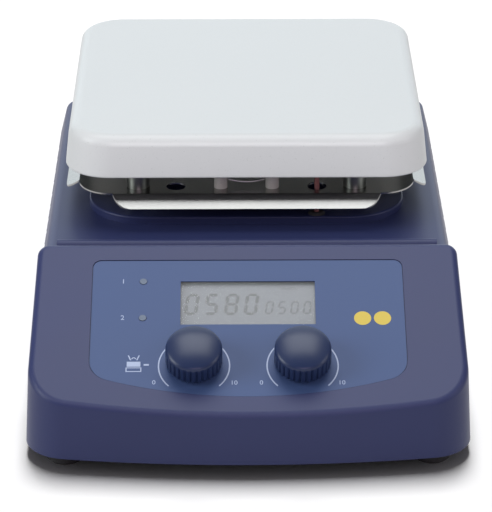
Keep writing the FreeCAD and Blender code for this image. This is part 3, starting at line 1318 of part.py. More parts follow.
probe_profile = [(s.probe_bore, -s.probe_depth + s.bezel_thick), (s.probe_bore, s.bezel_thick),
                 (s.probe_flange, s.bezel_thick), (s.probe_flange, 0), (s.probe_radius, 0),
                 (s.probe_radius, -s.probe_depth), (0, -s.probe_depth), (0, -s.probe_depth + s.bezel_thick)]
probe = revolved("probe_socket", probe_profile)
probe.Placement = FreeCAD.Placement(Vector(), FreeCAD.Rotation(Vector(1, 0, 0), -90))
keep(place(probe, s.probe_x, recess_y, s.panel_height))
bush = revolved("rod_bush", [(s.bush_bore, -s.bush_length), (s.bush_radius, -s.bush_length),
                             (s.bush_radius, 0), (s.bush_bore, 0)])
bush.Placement = FreeCAD.Placement(Vector(), FreeCAD.Rotation(Vector(1, 0, 0), -90))
keep(place(bush, s.bush_x, recess_y, s.panel_height))

# Everything is worked out, checked and written

doc.recompute()
for thing in doc.Objects:
    if "Invalid" in thing.State or "Error" in thing.State:
        raise RuntimeError(f"{thing.Name} failed: {thing.State}")
labels = [thing.Label for thing in nodes]
if len(set(labels)) != len(labels):
    raise RuntimeError("two pieces share a label")
os.makedirs("parts", exist_ok=True)
for thing in nodes:
    shape = thing.Shape
    if shape.isNull() or not shape.isValid() or not shape.Solids:
        raise RuntimeError(f"{thing.Label} has no valid solid")
    shape.exportStep(f"parts/{thing.Label}.step")
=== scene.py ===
import json
import math
from collections import namedtuple

import bmesh
import bpy
from mathutils import Matrix, Vector


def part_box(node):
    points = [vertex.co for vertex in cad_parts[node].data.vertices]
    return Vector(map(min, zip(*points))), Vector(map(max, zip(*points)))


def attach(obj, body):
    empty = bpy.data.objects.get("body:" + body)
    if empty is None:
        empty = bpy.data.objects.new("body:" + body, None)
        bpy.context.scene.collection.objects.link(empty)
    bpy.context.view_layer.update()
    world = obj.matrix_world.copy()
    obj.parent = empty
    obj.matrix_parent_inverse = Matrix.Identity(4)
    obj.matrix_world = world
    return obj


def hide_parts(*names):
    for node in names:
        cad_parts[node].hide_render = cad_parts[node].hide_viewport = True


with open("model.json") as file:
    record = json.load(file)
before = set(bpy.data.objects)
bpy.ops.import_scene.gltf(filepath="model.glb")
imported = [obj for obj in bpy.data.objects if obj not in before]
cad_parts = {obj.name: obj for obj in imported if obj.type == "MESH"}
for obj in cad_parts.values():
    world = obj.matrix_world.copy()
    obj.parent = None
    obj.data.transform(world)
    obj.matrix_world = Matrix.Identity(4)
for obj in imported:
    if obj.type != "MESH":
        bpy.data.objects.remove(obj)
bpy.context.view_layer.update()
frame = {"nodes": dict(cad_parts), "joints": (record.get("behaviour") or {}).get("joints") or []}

bl_info = {
    "name": "Hotplate Stirrer",
    "version": (1, 0, 0),
    "blender": (4, 5, 0),
    "location": "View3D > Sidebar > Stirrer",
    "description": "Finishes, print and studio for a hotplate magnetic stirrer",
    "category": "Object",
}

MM = 0.001

# The sloping panel, read from the axis that the left knob turns on.
dial_joint = next(joint for joint in frame["joints"] if joint["name"] == "left_turn")
panel_out = Vector(dial_joint["axis"]).normalized()
panel_up = panel_out.cross(Vector((1, 0, 0)))
dial_point = Vector(dial_joint["pos_m"])


def length(label, words, value):
    return bpy.props.FloatProperty(name=label, description=words, default=value, unit="LENGTH")


def angle(label, words, degrees):
    return bpy.props.FloatProperty(name=label, description=words, default=math.radians(degrees),
                                   unit="ROTATION")


class StirrerSizes(bpy.types.PropertyGroup):
    """Sizes of the print, the display and the knobs."""

    ink: length("Ink", "Thickness of the print", 0.03 * MM)
    dial_centre: length("Dial centre", "Knob centres up the slope from the crease", 31.1 * MM)
    dial_side: length("Dial side", "Knobs from the centre line", abs(dial_point.x))
    overlay_top: length("Overlay surface", "Printed surface above the panel", -0.3 * MM)
    ring_radius: length("Dial ring", "Radius of the printed ring round a knob", 17.1 * MM)
    ring_drop: length("Ring drop", "Ring centre below the knob centre", 1.6 * MM)
    ring_line: length("Ring line", "Width of the printed ring", 0.65 * MM)
    ring_opening: angle("Ring opening", "Part of the ring left open below the knob", 90)
    mark_radius: length("Mark radius", "Radius of the round marks", 4.2 * MM)
    mark_centre: length("Mark centre", "Round marks up the slope", 58.3 * MM)

    display_top: length("Display surface", "Face of the display above the panel", -2.4 * MM)
    display_width: length("Display width", "Visible display", 66 * MM)
    display_length: length("Display length", "Visible display up the slope", 27 * MM)
    display_centre: length("Display centre", "Display centre up the slope", 68.2 * MM)
    # The next two place a dark band along the top of the display: painted shade cast by the upper edge of
    # the window opening.
    painted_shade_centre: length("Margin centre", "Dark margin of the display up the slope", 82.2 * MM)
    painted_shade_height: length("Margin height", "Dark margin of the display", 2.6 * MM)
    pane_margin: length("Pane margin", "Pane beyond the visible display, both ends together", 3 * MM)
    pane_thickness: length("Pane thickness", "Thickness of the clear pane", 1.4 * MM)
    pane_edge: length("Pane edge", "Rounding of the pane's edges", 0.25 * MM)
    pane_depth: length("Pane depth", "Middle of the pane below the panel", 1.55 * MM)
    digit_slant: angle("Slant", "Slant of the digits", 7)
    digit_height: length("Large digits", "Height of the large digits", 13.4 * MM)
    digit_start: length("Large digits, left end", "First large digit across the panel", -31.6 * MM)
    digit_step: length("Large digits, step", "From one large digit to the next", 9.75 * MM)
    digit_foot: length("Large digits, foot", "Foot of the large digits up the slope", 62.1 * MM)
    small_digit_height: length("Small digits", "Height of the small digits", 8.2 * MM)
    small_digit_start: length("Small digits, left end", "First small digit across the panel", 8 * MM)
    small_digit_step: length("Small digits, step", "From one small digit to the next", 6.2 * MM)
    small_digit_foot: length("Small digits, foot", "Foot of the small digits up the slope", 62.5 * MM)

    knob_radius: length("Knob radius", "Knob over its ribs", 13.7 * MM)
    knob_gap: length("Knob gap", "Knob above the panel", 1.6 * MM)
    knob_height: length("Knob height", "Top of the knob above the panel", 15 * MM)
    knob_crown: length("Knob crown", "Radius of the domed top", 32 * MM)
    knob_edge: length("Knob edge", "Radius between the dome and the side", 2.4 * MM)
    knob_chamfer: length("Knob chamfer", "Broken edge at the knob's foot", 0.4 * MM)
    knob_wall: length("Knob wall", "Thickness of the knob's skirt", 2.6 * MM)
    knob_ribs: bpy.props.IntProperty(
        name="Knob ribs", description="Ribs round a knob", default=30, min=8, max=60)
    groove: length("Groove", "Depth between the ribs", 0.75 * MM)
    groove_fade: length("Groove fade", "Height over which a groove runs out towards the top", 2.4 * MM)
    groove_end: length("Groove end", "End of a groove above the knob's side", 0.6 * MM)


def colour(label, words, value):
    return bpy.props.FloatVectorProperty(name=label, description=words, default=value, size=3,
                                         subtype="COLOR", min=0, max=1)


class StirrerColours(bpy.types.PropertyGroup):
    """Colours of the finishes, and of the painted shade band along the top of the display."""

    housing: colour("Housing", "Moulded housings", (0.021, 0.027, 0.082))
    overlay: colour("Overlay", "Printed overlay", (0.042, 0.072, 0.176))
    enamel: colour("Enamel", "Top plate", (0.395, 0.402, 0.407))
    tray: colour("Tray", "Sheet-steel tray", (0.315, 0.31, 0.305))
    knob: colour("Knob", "Knobs", (0.013, 0.023, 0.068))
    ink: colour("Ink", "Print on the overlay", (0.35, 0.41, 0.58))
    mark: colour("Mark", "Round marks on the overlay", (0.55, 0.41, 0.04))
    display: colour("Display", "Face of the display", (0.155, 0.165, 0.188))
    segment: colour("Segment", "Large digits of the display", (0.072, 0.078, 0.082))
    # Painted shade: the dark band along the top of the display, where the window's upper edge casts shade.
    margin: colour("Margin", "Dark margin of the display", (0.10, 0.125, 0.13))
    pale_segment: colour("Pale segment", "Small digits of the display", (0.088, 0.095, 0.102))
    floor: colour("Floor", "Studio floor", (0.96, 0.96, 0.96))


# Materials

class Signal:
    """A socket's value, on which Python arithmetic adds Math nodes."""

    def __init__(self, finish, socket):
        self.finish = finish
        self.socket = socket

    def join(self, operation, first, second):
        return self.finish.add("ShaderNodeMath", {"operation": operation}, {0: first, 1: second})

    def __add__(self, other):
        return self.join("ADD", self, other)

    def __radd__(self, other):
        return self.join("ADD", other, self)

    def __mul__(self, other):
        return self.join("MULTIPLY", self, other)

    def __rmul__(self, other):
        return self.join("MULTIPLY", other, self)

    def above(self, level):
        return self.join("GREATER_THAN", self, level)


class Finish:
    """A material in the making, with one Principled shader."""

    def __init__(self, name, **constants):
        self.material = bpy.data.materials.new(name)
        self.material.use_nodes = True
        self.tree = self.material.node_tree
        self.tree.nodes.clear()
        self.shader = self.tree.nodes.new("ShaderNodeBsdfPrincipled")
        output = self.tree.nodes.new("ShaderNodeOutputMaterial")
        self.tree.links.new(self.shader.outputs[0], output.inputs["Surface"])
        for socket, value in constants.items():
            self.set(socket.replace("_", " "), value)

    def add(self, kind, settings=None, inputs=None, output=0):
        node = self.tree.nodes.new(kind)
        for setting, value in (settings or {}).items():
            setattr(node, setting, value)
        for socket, value in (inputs or {}).items():
            self.feed(node.inputs[socket], value)
        return Signal(self, node.outputs[output])

    def feed(self, socket, value):
        if isinstance(value, Signal):
            self.tree.links.new(value.socket, socket)
        elif socket.type == "RGBA":
            socket.default_value = (*value, 1)
        else:
            socket.default_value = value

    def set(self, socket, value):
        self.feed(self.shader.inputs[socket], value)

    def place(self, stretch=(1, 1, 1)):
        coordinates = self.add("ShaderNodeTexCoord", output="Object")
        return self.add("ShaderNodeMapping", {"vector_type": "POINT"},
                        {"Vector": coordinates, "Scale": stretch})

    def noise(self, scale, detail=2.0, rough=0.5, stretch=(1, 1, 1)):
        return self.add("ShaderNodeTexNoise", {"noise_dimensions": "3D"},
                        {"Vector": self.place(stretch), "Scale": scale, "Detail": detail,
                         "Roughness": rough})

    def blend(self, factor, first, second):
        return self.add("ShaderNodeMix", {"data_type": "RGBA"}, {0: factor, 6: first, 7: second}, output=2)

    def bump(self, height, distance):
        self.set("Normal", self.add("ShaderNodeBump", inputs={"Height": height, "Distance": distance}))


def shade(value, factor):
    return tuple(min(1.0, channel * factor) for channel in value)


def moulded(name, tone, rough, grain=2600, depth=0.02 * MM, mottle=0.10, gloss=0.25):
    """Moulded plastic: fine spark-eroded grain with a slow drift of tone."""
    finish = Finish(name, Specular_IOR_Level=gloss)
    slow = finish.noise(14, detail=3)
    fine = finish.noise(grain, detail=1)
    finish.set("Base Color", finish.blend(slow, shade(tone, 1 - mottle), shade(tone, 1 + mottle)))
    finish.set("Roughness", rough - 0.05 + slow * 0.06 + fine * 0.05)
    finish.bump(fine, depth)
    return finish.material


def enamelled(name, tone):
    """Fired enamel: glassy coat, orange peel, a few grey specks."""
    finish = Finish(name, IOR=1.5, Coat_Roughness=0.12, Specular_IOR_Level=0.2)
    peel = finish.noise(260, detail=2)
    slow = finish.noise(9, detail=3)
    specks = finish.noise(1500, detail=0).above(0.79)
    body = finish.blend(slow, shade(tone, 0.97), shade(tone, 1.03))
    finish.set("Base Color", finish.blend(specks * 0.35, body, shade(tone, 0.55)))
    finish.set("Roughness", 0.30 + slow * 0.10)
    finish.set("Coat Weight", 0.05)
    finish.bump(peel, 0.03 * MM)
    return finish.material


def rolled(name, tone, rough, grain=(6, 260, 260), depth=0.006 * MM, streak=0.10):
    """Rolled or brushed sheet metal, its lines along the axis stretched least."""
    finish = Finish(name)
    lines = finish.noise(6, detail=4, stretch=grain)
    clouds = finish.noise(22, detail=3)
    finish.set("Metallic", 1.0)
    finish.set("Base Color", finish.blend(lines, shade(tone, 1 - streak), shade(tone, 1 + streak)))
    finish.set("Roughness", rough + lines * streak + clouds * 0.06)
    finish.bump(lines, depth)
    return finish.material


def turned(name, tone, rough):
    """Turned metal: rings along the height."""
    return rolled(name, tone, rough, grain=(4, 4, 420))


def coated(name, tone, rough, grain=900, depth=0.05 * MM, spots=0.25):
    """A dull mineral, rubber or fibre surface with pores."""
    finish = Finish(name)
    pores = finish.noise(grain, detail=4, rough=0.65)
    slow = finish.noise(40, detail=2)
    finish.set("Base Color", finish.blend(pores, shade(tone, 1 - spots), shade(tone, 1 + spots * 0.6)))
    finish.set("Roughness", rough - 0.04 + slow * 0.08)
    finish.bump(pores, depth)
    return finish.material


def circuit(name):
    """Solder mask with copper runs and pads showing through."""
    finish = Finish(name)
    grid = finish.add("ShaderNodeTexBrick", {"offset": 0.5},
                      {"Vector": finish.place(), "Scale": 160.0, "Mortar Size": 0.03,
                       "Color1": (0, 0, 0), "Color2": (0.1, 0.1, 0.1), "Mortar": (1, 1, 1)}, output=0)
    mask = finish.noise(90, detail=1).above(0.52)
    runs = grid * mask
    finish.set("Base Color", finish.blend(runs, (0.012, 0.12, 0.045), (0.05, 0.26, 0.10)))
    finish.set("Roughness", 0.38 + runs * 0.1)
    finish.bump(runs, 0.03 * MM)
    return finish.material


def clear(name, tone, alpha, rough=0.05, gloss=0.5):
    """Clear glass or plastic, with faint wipe marks."""
    finish = Finish(name, IOR=1.49, Specular_IOR_Level=gloss)
    wipes = finish.noise(30, detail=4, stretch=(1, 6, 6))
    finish.set("Base Color", finish.blend(wipes, shade(tone, 0.96), tone))
    finish.set("Alpha", alpha + wipes * 0.03)
    finish.set("Roughness", rough + wipes * 0.05)
    return finish.material


def printed(name, tone):
    """Screen-printed ink with slightly uneven cover."""
    finish = Finish(name)
    cover = finish.noise(1800, detail=2)
    finish.set("Base Color", finish.blend(cover, shade(tone, 0.88), tone))
    finish.set("Roughness", 0.50 + cover * 0.08)
    finish.bump(cover, 0.004 * MM)
    return finish.material


def dress(material, *nodes):
    """Give CAD nodes a finish."""
    for node in nodes:
        mesh = frame["nodes"][node].data
        mesh.materials.clear()
        mesh.materials.append(material)
        for polygon in mesh.polygons:
            polygon.material_index = 0


# Modelling

def sizes():
    return bpy.context.scene.stirrer_sizes


def colours():
    return bpy.context.scene.stirrer_colours


def panel_place(x=0.0, up=0.0, out=0.0):
    """A matrix that stands flat work on the panel: across, up the slope, out of it."""
    crease = dial_point - panel_up * sizes().dial_centre
    origin = Vector((x, crease.y, crease.z)) + panel_up * up + panel_out * out
    turn = Matrix((Vector((1, 0, 0)), panel_up, panel_out)).transposed()
    return Matrix.Translation(origin) @ turn.to_4x4()


def merged(bm):
    """Join points that lie together, then turn the faces outwards."""
    bmesh.ops.remove_doubles(bm, verts=bm.verts, dist=0.001 * MM)
    bmesh.ops.recalc_face_normals(bm, faces=bm.faces)


def finish_piece(name, bm, body, material, crisp=math.radians(35)):
    """Turn a bmesh into a piece that rides on a body."""
    merged(bm)
    mesh = bpy.data.meshes.new(name)
    bm.to_mesh(mesh)
    bm.free()
    mesh.shade_smooth()
    mesh.set_sharp_from_angle(angle=crisp)
    mesh.materials.append(material)
    piece = bpy.data.objects.new(name, mesh)
    bpy.context.scene.collection.objects.link(piece)
    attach(piece, body)
    return piece


def thicken(bm, faces, thickness):
    """Raise flat faces into thin solids."""
    raised = bmesh.ops.extrude_face_region(bm, geom=list(faces))
    verts = [item for item in raised["geom"] if isinstance(item, bmesh.types.BMVert)]
    bmesh.ops.translate(bm, verts=verts, vec=(0, 0, thickness))


def flat_shape(bm, points, thickness):
    """A thin solid over a small flat outline."""
    verts = [bm.verts.new((x, y, 0)) for x, y in points]
    thicken(bm, [bm.faces.new(verts)], thickness)


def flat_box(bm, x, y, width, height, thickness):
    flat_shape(bm, [(x - width / 2, y - height / 2), (x + width / 2, y - height / 2),
                    (x + width / 2, y + height / 2), (x - width / 2, y + height / 2)], thickness)


def flat_ring(bm, x, y, radius, line, start, sweep, thickness, steps=72):
    """A thin band round a point, swept from a short bar."""
    foot = [bm.verts.new((x + radius - line / 2, y, 0)), bm.verts.new((x + radius + line / 2, y, 0))]
    edge = bm.edges.new(foot)
    turn = Matrix.Rotation(start, 3, "Z")
    bmesh.ops.rotate(bm, verts=foot, cent=(x, y, 0), matrix=turn)
    before = set(bm.faces)
    bmesh.ops.spin(bm, geom=[*foot, edge], cent=(x, y, 0), axis=(0, 0, 1), angle=sweep, steps=steps,
                   use_merge=False)
    thicken(bm, [face for face in bm.faces if face not in before], thickness)


# Font size that makes a figure one unit high.
FONT_SCALE = 1.37


def lettering(words, height, thickness):
    """Plain figures as a mesh."""
    text = bpy.data.curves.new("figures", "FONT")
    text.body = words
    text.size = height * FONT_SCALE
    text.extrude = thickness / 2
    text.resolution_u = 4
    holder = bpy.data.objects.new("figures", text)
    bpy.context.scene.collection.objects.link(holder)
    bpy.context.view_layer.update()
    mesh = bpy.data.meshes.new_from_object(holder.evaluated_get(bpy.context.evaluated_depsgraph_get()))
    bpy.data.objects.remove(holder)
    bpy.data.curves.remove(text)
    return mesh


def write_on(bm, words, x, y, height, thickness):
    """Add figures to a flat bmesh, centred on a point."""
    mesh = lettering(words, height, thickness)
    low = min(vert.co.x for vert in mesh.vertices)
    high = max(vert.co.x for vert in mesh.vertices)
    foot = min(vert.co.y for vert in mesh.vertices)
    head = max(vert.co.y for vert in mesh.vertices)
    mesh.transform(Matrix.Translation((x - (low + high) / 2, y - (foot + head) / 2, thickness / 2)))
    bm.from_mesh(mesh)
    bpy.data.meshes.remove(mesh)


# The bars that a display lights for each figure, and the shares of a digit's height.
SEGMENTS = {"0": "abcdef", "5": "acdfg", "8": "abcdefg"}
DIGIT_WIDTH = 0.50
BAR_WIDTH = 0.13
BAR_GAP = 0.12 * BAR_WIDTH


def seven_segment(bm, figure, x, y, height, slant, thickness):
    """One digit of the display, its lower left corner at a point."""
    width = height * DIGIT_WIDTH
    half = height * BAR_WIDTH / 2
    gap = height * BAR_GAP
    middle = height / 2
    level = {"a": height - half, "g": middle, "d": half}
    upright = {"f": (half, middle), "b": (width - half, middle), "e": (half, 0), "c": (width - half, 0)}
    before = set(bm.verts)
    for segment in SEGMENTS[figure]:
        if segment in level:
            up = level[segment]
            left = half + gap
            right = width - half - gap
            outline = [(left, up), (left + half, up - half), (right - half, up - half),
                       (right, up), (right - half, up + half), (left + half, up + half)]
        else:
            across, low = upright[segment]
            foot = (low or half) + gap
            head = (height - half if low else middle) - gap
            outline = [(across, foot), (across + half, foot + half), (across + half, head - half),
                       (across, head), (across - half, head - half), (across - half, foot + half)]
        flat_shape(bm, outline, thickness)
    new = [vert for vert in bm.verts if vert not in before]
    for vert in new:
        vert.co.x += vert.co.y * math.tan(slant)
    bmesh.ops.translate(bm, verts=new, vec=(x, y, 0))


def put(bm, matrix):
    bmesh.ops.transform(bm, matrix=matrix, verts=bm.verts)


# The studio, in metres and watts. Each lamp lights one group of things.

Lamp = namedtuple("Lamp", "name place aim width height power tint group")
LAMPS = (
    Lamp("overhead", (0, 0.26, 1.7), (0, 0.05, 0.05), 1.4, 1.4, 28, (0.97, 1, 1), "machine"),
    Lamp("backdrop", (0, 2.3, 1.0), (0, 0, 0.2), 4.0, 2.0, 41, (0.84, 0.95, 1), "machine"),
    Lamp("paper", (0, 1.95, 6.0), (0, 0, 0), 1.6, 3.5, 430, (1, 1, 1), "paper"),
    Lamp("left", (-1.5, -0.6, 0.8), (0, 0, 0.05), 0.8, 1.2, 20, (0.95, 1, 1), "machine"),
    Lamp("right", (1.5, -0.6, 0.8), (0, 0, 0.05), 0.8, 1.2, 7, (1, 1, 1), "machine"),
    Lamp("front", (0.2, -2.2, 0.9), (0, 0, 0.08), 1.0, 1.0, 9, (1, 0.80, 0.95), "machine"),
    Lamp("crest", (-0.2, -1.15, 1.45), (0, 0, 0.05), 1.6, 0.3, 9, (1, 0.95, 1), "housings"),
    Lamp("plate", (0, -2.2, 0.9), (0, 0, 0.1), 1.0, 1.0, 37, (1, 0.99, 1), "plate"),
)
AIR_TINT = (1, 0.96, 1, 1)
AIR_STRENGTH = 0.12
FLOOR_REACH = 6
CAMERA_PLACE = (-0.007, -1.31814, 0.63782)
CAMERA_TURN = (65.41, 0.06, -0.319)
CAMERA_LENS = 191.1


def lamp_groups(ground):
    """The paper has a lamp of its own, so that the shadow under the machine stays deep."""
    nodes = frame["nodes"]
    members = {
        "machine": [ground],
        "paper": [ground],
        "housings": [nodes["front_housing"], nodes["rear_housing"]],
        "plate": [nodes["top_plate"]],
    }
    groups = {}
    for name, pieces in members.items():
        groups[name] = bpy.data.collections.new("lit_" + name)
        for piece in pieces:
            groups[name].objects.link(piece)
    # The machine's group is everything but the paper.
    groups["machine"].collection_objects[0].light_linking.link_state = "EXCLUDE"
    return groups


def hang(lamp, group):
    """Hang a soft rectangular light."""
    light = bpy.data.lights.new(lamp.name, "AREA")
    light.shape = "RECTANGLE"
    light.size = lamp.width
    light.size_y = lamp.height
    light.energy = lamp.power
    light.color = lamp.tint
    holder = bpy.data.objects.new(lamp.name, light)
    holder.location = lamp.place
    holder.rotation_euler = (Vector(lamp.aim) - Vector(lamp.place)).to_track_quat("-Z", "Y").to_euler()
    holder.visible_camera = False
    holder.light_linking.receiver_collection = group
    bpy.context.scene.collection.objects.link(holder)


# Operators, one for each piece or group of like pieces

class STIRRER_OT_stage(bpy.types.Operator):
    """Floor, soft lights and camera"""

    bl_idname = "stirrer.stage"
    bl_label = "Studio"

    def execute(self, context):
        bm = bmesh.new()
        bmesh.ops.create_grid(bm, x_segments=1, y_segments=1, size=FLOOR_REACH)
        mesh = bpy.data.meshes.new("floor")
        bm.to_mesh(mesh)
        bm.free()
        floor = Finish("studio_paper", Roughness=0.9)
        paper = floor.noise(35, detail=3)
        floor.set("Base Color", floor.blend(paper, shade(colours().floor, 0.995), colours().floor))
        mesh.materials.append(floor.material)
        ground = bpy.data.objects.new("floor", mesh)
        context.scene.collection.objects.link(ground)

        world = bpy.data.worlds.new("studio_air")
        world.use_nodes = True
        air = world.node_tree.nodes["Background"]
        air.inputs["Color"].default_value = AIR_TINT
        air.inputs["Strength"].default_value = AIR_STRENGTH
        context.scene.world = world
        context.scene.view_settings.view_transform = "Standard"

        groups = lamp_groups(ground)
        for lamp in LAMPS:
            hang(lamp, groups[lamp.group])

        lens = bpy.data.cameras.new("camera")
        lens.sensor_width = 36
        lens.lens = CAMERA_LENS
        lens.clip_end = 20
        eye = bpy.data.objects.new("camera", lens)
        eye.location = CAMERA_PLACE
        eye.rotation_euler = [math.radians(turn) for turn in CAMERA_TURN]
        context.scene.collection.objects.link(eye)
        context.scene.camera = eye
        return {"FINISHED"}


class STIRRER_OT_housings(bpy.types.Operator):
    """Moulded grain on both housings, paint on the base plate, rubber on the feet"""

    bl_idname = "stirrer.housings"
    bl_label = "Housings and feet"

    def execute(self, context):
        dress(moulded("housing_plastic", colours().housing, 0.42), "front_housing", "rear_housing")
        dress(coated("base_paint", (0.025, 0.026, 0.030), 0.55, grain=1200, depth=0.03 * MM),
              "base_plate")
        dress(coated("foot_rubber", (0.018, 0.018, 0.020), 0.75), "foot_front_left", "foot_front_right",
              "foot_rear_left", "foot_rear_right")
        return {"FINISHED"}


class STIRRER_OT_plate(bpy.types.Operator):
    """Enamelled top plate and the heater stack under it"""

    bl_idname = "stirrer.plate"
    bl_label = "Plate and heater"

    def execute(self, context):
        dress(enamelled("plate_enamel", colours().enamel), "top_plate")
        dress(coated("insulation_fibre", (0.80, 0.79, 0.74), 0.9, grain=500, depth=0.3 * MM),
              "insulation_pad")
        dress(rolled("clamp_sheet", (0.86, 0.86, 0.84), 0.48), "clamp_plate")
        dress(coated("element_mica", (0.35, 0.30, 0.20), 0.6), "heating_element")
        return {"FINISHED"}


class STIRRER_OT_tray(bpy.types.Operator):
    """Bright tray with its posts, wire, lead and grommet"""

    bl_idname = "stirrer.tray"
    bl_label = "Tray and posts"

    def execute(self, context):
        steel = rolled("tray_steel", colours().tray, 0.20, grain=(2, 200, 200), depth=0.0002 * MM,
                       streak=0.05)
        dress(steel, "heat_shield_tray")
        dress(turned("post_aluminium", (0.22, 0.23, 0.215), 0.32), "plate_standoffs", "tray_spacers")
        dress(coated("post_ceramic", (0.52, 0.51, 0.47), 0.45, grain=1400), "ceramic_terminals")
        dress(turned("wire_metal", (0.44, 0.46, 0.45), 0.30), "heater_link_wire", "temperature_sensor")
        dress(coated("lead_sleeve", (0.30, 0.12, 0.11), 0.50, grain=1800), "sensor_lead")
        dress(coated("grommet_rubber", (0.020, 0.020, 0.022), 0.7), "sensor_grommet")
        return {"FINISHED"}


# Figures printed on the overlay: words, place across and up the panel, and height, in mm.
FIGURES = (
    ("1", -61.2, 81.8, 2.9),
    ("2", -61.2, 59.1, 2.9),
    ("0", -45.3, 19.7, 2.6),
    ("10", -6.6, 19.4, 2.6),
    ("0", 6.2, 19.4, 2.6),
    ("10", 45.0, 19.3, 2.6),
)
# Places in mm across the panel: the round marks, and the heating sign with its height up the slope.
MARKS = (55.9, 65.6)
SIGN_PLACE = (-55.2, 30.6)


def heating_sign(bm, x, y, thickness):
    """A hot plate over an open base, with a ring and two strokes above it and a dash beside it, in mm."""
    plate_width, plate_height = 6.6, 3.0
    base_width, base_top, base_foot, line = 7.6, -2.2, -4.4, 0.45
    post_side, post_width, post_height = 3.55, 0.5, 1.9
    stroke = ((1.2, 2.4), (1.8, 2.4), (2.9, 5.3), (2.3, 5.3))
    ring_up, ring_radius = 3.0, 0.9
    dash_side, dash_up, dash_width, dash_height = 6.1, -0.4, 2.5, 1.0

    def bar(across, up, width, height):
        flat_box(bm, (x + across) * MM, (y + up) * MM, width * MM, height * MM, thickness)

    bar(0, 0, plate_width, plate_height)
    for up in (base_top, base_foot):
        bar(0, up, base_width, line)
    for side in (-1, 1):
        bar(side * post_side, (base_top + base_foot) / 2, post_width, post_height)
        outline = [((x + side * across) * MM, (y + up) * MM) for across, up in stroke]
        flat_shape(bm, outline[::side], thickness)
    flat_ring(bm, x * MM, (y + ring_up) * MM, ring_radius * MM, line * MM, 0, math.radians(180), thickness,
              steps=16)
    bar(dash_side, dash_up, dash_width, dash_height)


class STIRRER_OT_panel_print(bpy.types.Operator):
    """Overlay with its printed rings, figures and marks"""

    bl_idname = "stirrer.panel_print"
    bl_label = "Panel print"

    def execute(self, context):
        size = sizes()
        dress(moulded("overlay_film", colours().overlay, 0.48, grain=3600, depth=0.008 * MM, mottle=0.04),
              "control_overlay")
        bm = bmesh.new()
        start = math.radians(-90) + size.ring_opening / 2
        sweep = math.radians(360) - size.ring_opening
        for side in (-1, 1):
            flat_ring(bm, side * size.dial_side, size.dial_centre - size.ring_drop, size.ring_radius,
                      size.ring_line, start, sweep, size.ink)
        for words, x, y, height in FIGURES:
            write_on(bm, words, x * MM, y * MM, height * MM, size.ink)
        heating_sign(bm, *SIGN_PLACE, size.ink)
        put(bm, panel_place(out=size.overlay_top))
        finish_piece("panel_print", bm, "case", printed("print_white", colours().ink))

        bm = bmesh.new()
        for x in MARKS:
            place = Matrix.Translation((x * MM, size.mark_centre, 0))
            disc = bmesh.ops.create_circle(bm, cap_ends=True, radius=size.mark_radius, segments=48,
                                           matrix=place)
            thicken(bm, {face for vert in disc["verts"] for face in vert.link_faces}, size.ink)
        put(bm, panel_place(out=size.overlay_top))
        finish_piece("round_marks", bm, "case", printed("print_yellow", colours().mark))
        return {"FINISHED"}


# The row of tiny bars at the top of the display: number, then place across and up, step and size in mm.
TICKS = 9
TICK_START, TICK_UP, TICK_STEP = 16.4, 78.5, 0.98
TICK_WIDTH, TICK_HEIGHT = 0.4, 1.9


class STIRRER_OT_display(bpy.types.Operator):
    """Display face, its digits, a painted shade band, the clear pane and the lamps"""

    bl_idname = "stirrer.display"
    bl_label = "Display and lamps"

    def execute(self, context):
        size = sizes()
        dress(moulded("display_cell", colours().display, 0.40, grain=5200, depth=0.0005 * MM, mottle=0.03),
              "display_glass")
        dress(moulded("backlight_frame", (0.72, 0.72, 0.70), 0.5), "backlight")
        face = panel_place(out=size.display_top)

        bm = bmesh.new()
        for index, figure in enumerate("0580"):
            seven_segment(bm, figure, size.digit_start + index * size.digit_step, size.digit_foot,
                          size.digit_height, size.digit_slant, size.ink)
        put(bm, face)
        finish_piece("display_digits", bm, "case", printed("segment_dark", colours().segment))

        bm = bmesh.new()
        for index, figure in enumerate("0500"):
            seven_segment(bm, figure, size.small_digit_start + index * size.small_digit_step,
                          size.small_digit_foot, size.small_digit_height, size.digit_slant, size.ink)
        for index in range(TICKS):
            flat_box(bm, (TICK_START + index * TICK_STEP) * MM, TICK_UP * MM, TICK_WIDTH * MM,
                     TICK_HEIGHT * MM, size.ink)
        put(bm, face)
        finish_piece("display_small_digits", bm, "case",
                     printed("segment_pale", colours().pale_segment))

        # A dark band painted along the top of the display's face: painted shade cast by the upper edge of
        # the window opening.
        bm = bmesh.new()
        flat_box(bm, 0, size.painted_shade_centre, size.display_width, size.painted_shade_height, size.ink)
        put(bm, face)
        finish_piece("display_painted_shade", bm, "case", printed("painted_shade_grey", colours().margin))

        low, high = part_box("display_window")
        bm = bmesh.new()
        extent = (high[0] - low[0], size.display_length + size.pane_margin, size.pane_thickness, 1)
        bmesh.ops.create_cube(bm, size=1, matrix=Matrix.Diagonal(extent))
        bmesh.ops.bevel(bm, geom=bm.edges[:], offset=size.pane_edge, segments=2, affect="EDGES", profile=0.5,
                        material=-1)
        put(bm, panel_place(up=size.display_centre, out=-size.pane_depth))
        pane = finish_piece("display_pane", bm, "case",
                            clear("pane_plastic", (0.85, 0.88, 0.88), 0.06, gloss=0.2))
        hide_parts("display_window")
        dress(clear("lens_plastic", (0.12, 0.155, 0.225), 0.8, rough=0.3, gloss=0.3), "lamp_lenses")
        return {"FINISHED"}


# How a groove between two ribs runs: its share of the rib's width, its steepness, and its share of the
# depth at the knob's foot. Points within a touch of the inner wall or the foot belong to it.
GROOVE_SHARE = 0.62
GROOVE_STEEPNESS = 1.6
GROOVE_FOOT = 0.6
TOUCH = 0.2 * MM
STEPS_PER_RIB = 8
SIDE_STEPS, EDGE_STEPS, DOME_STEPS = 8, 8, 12


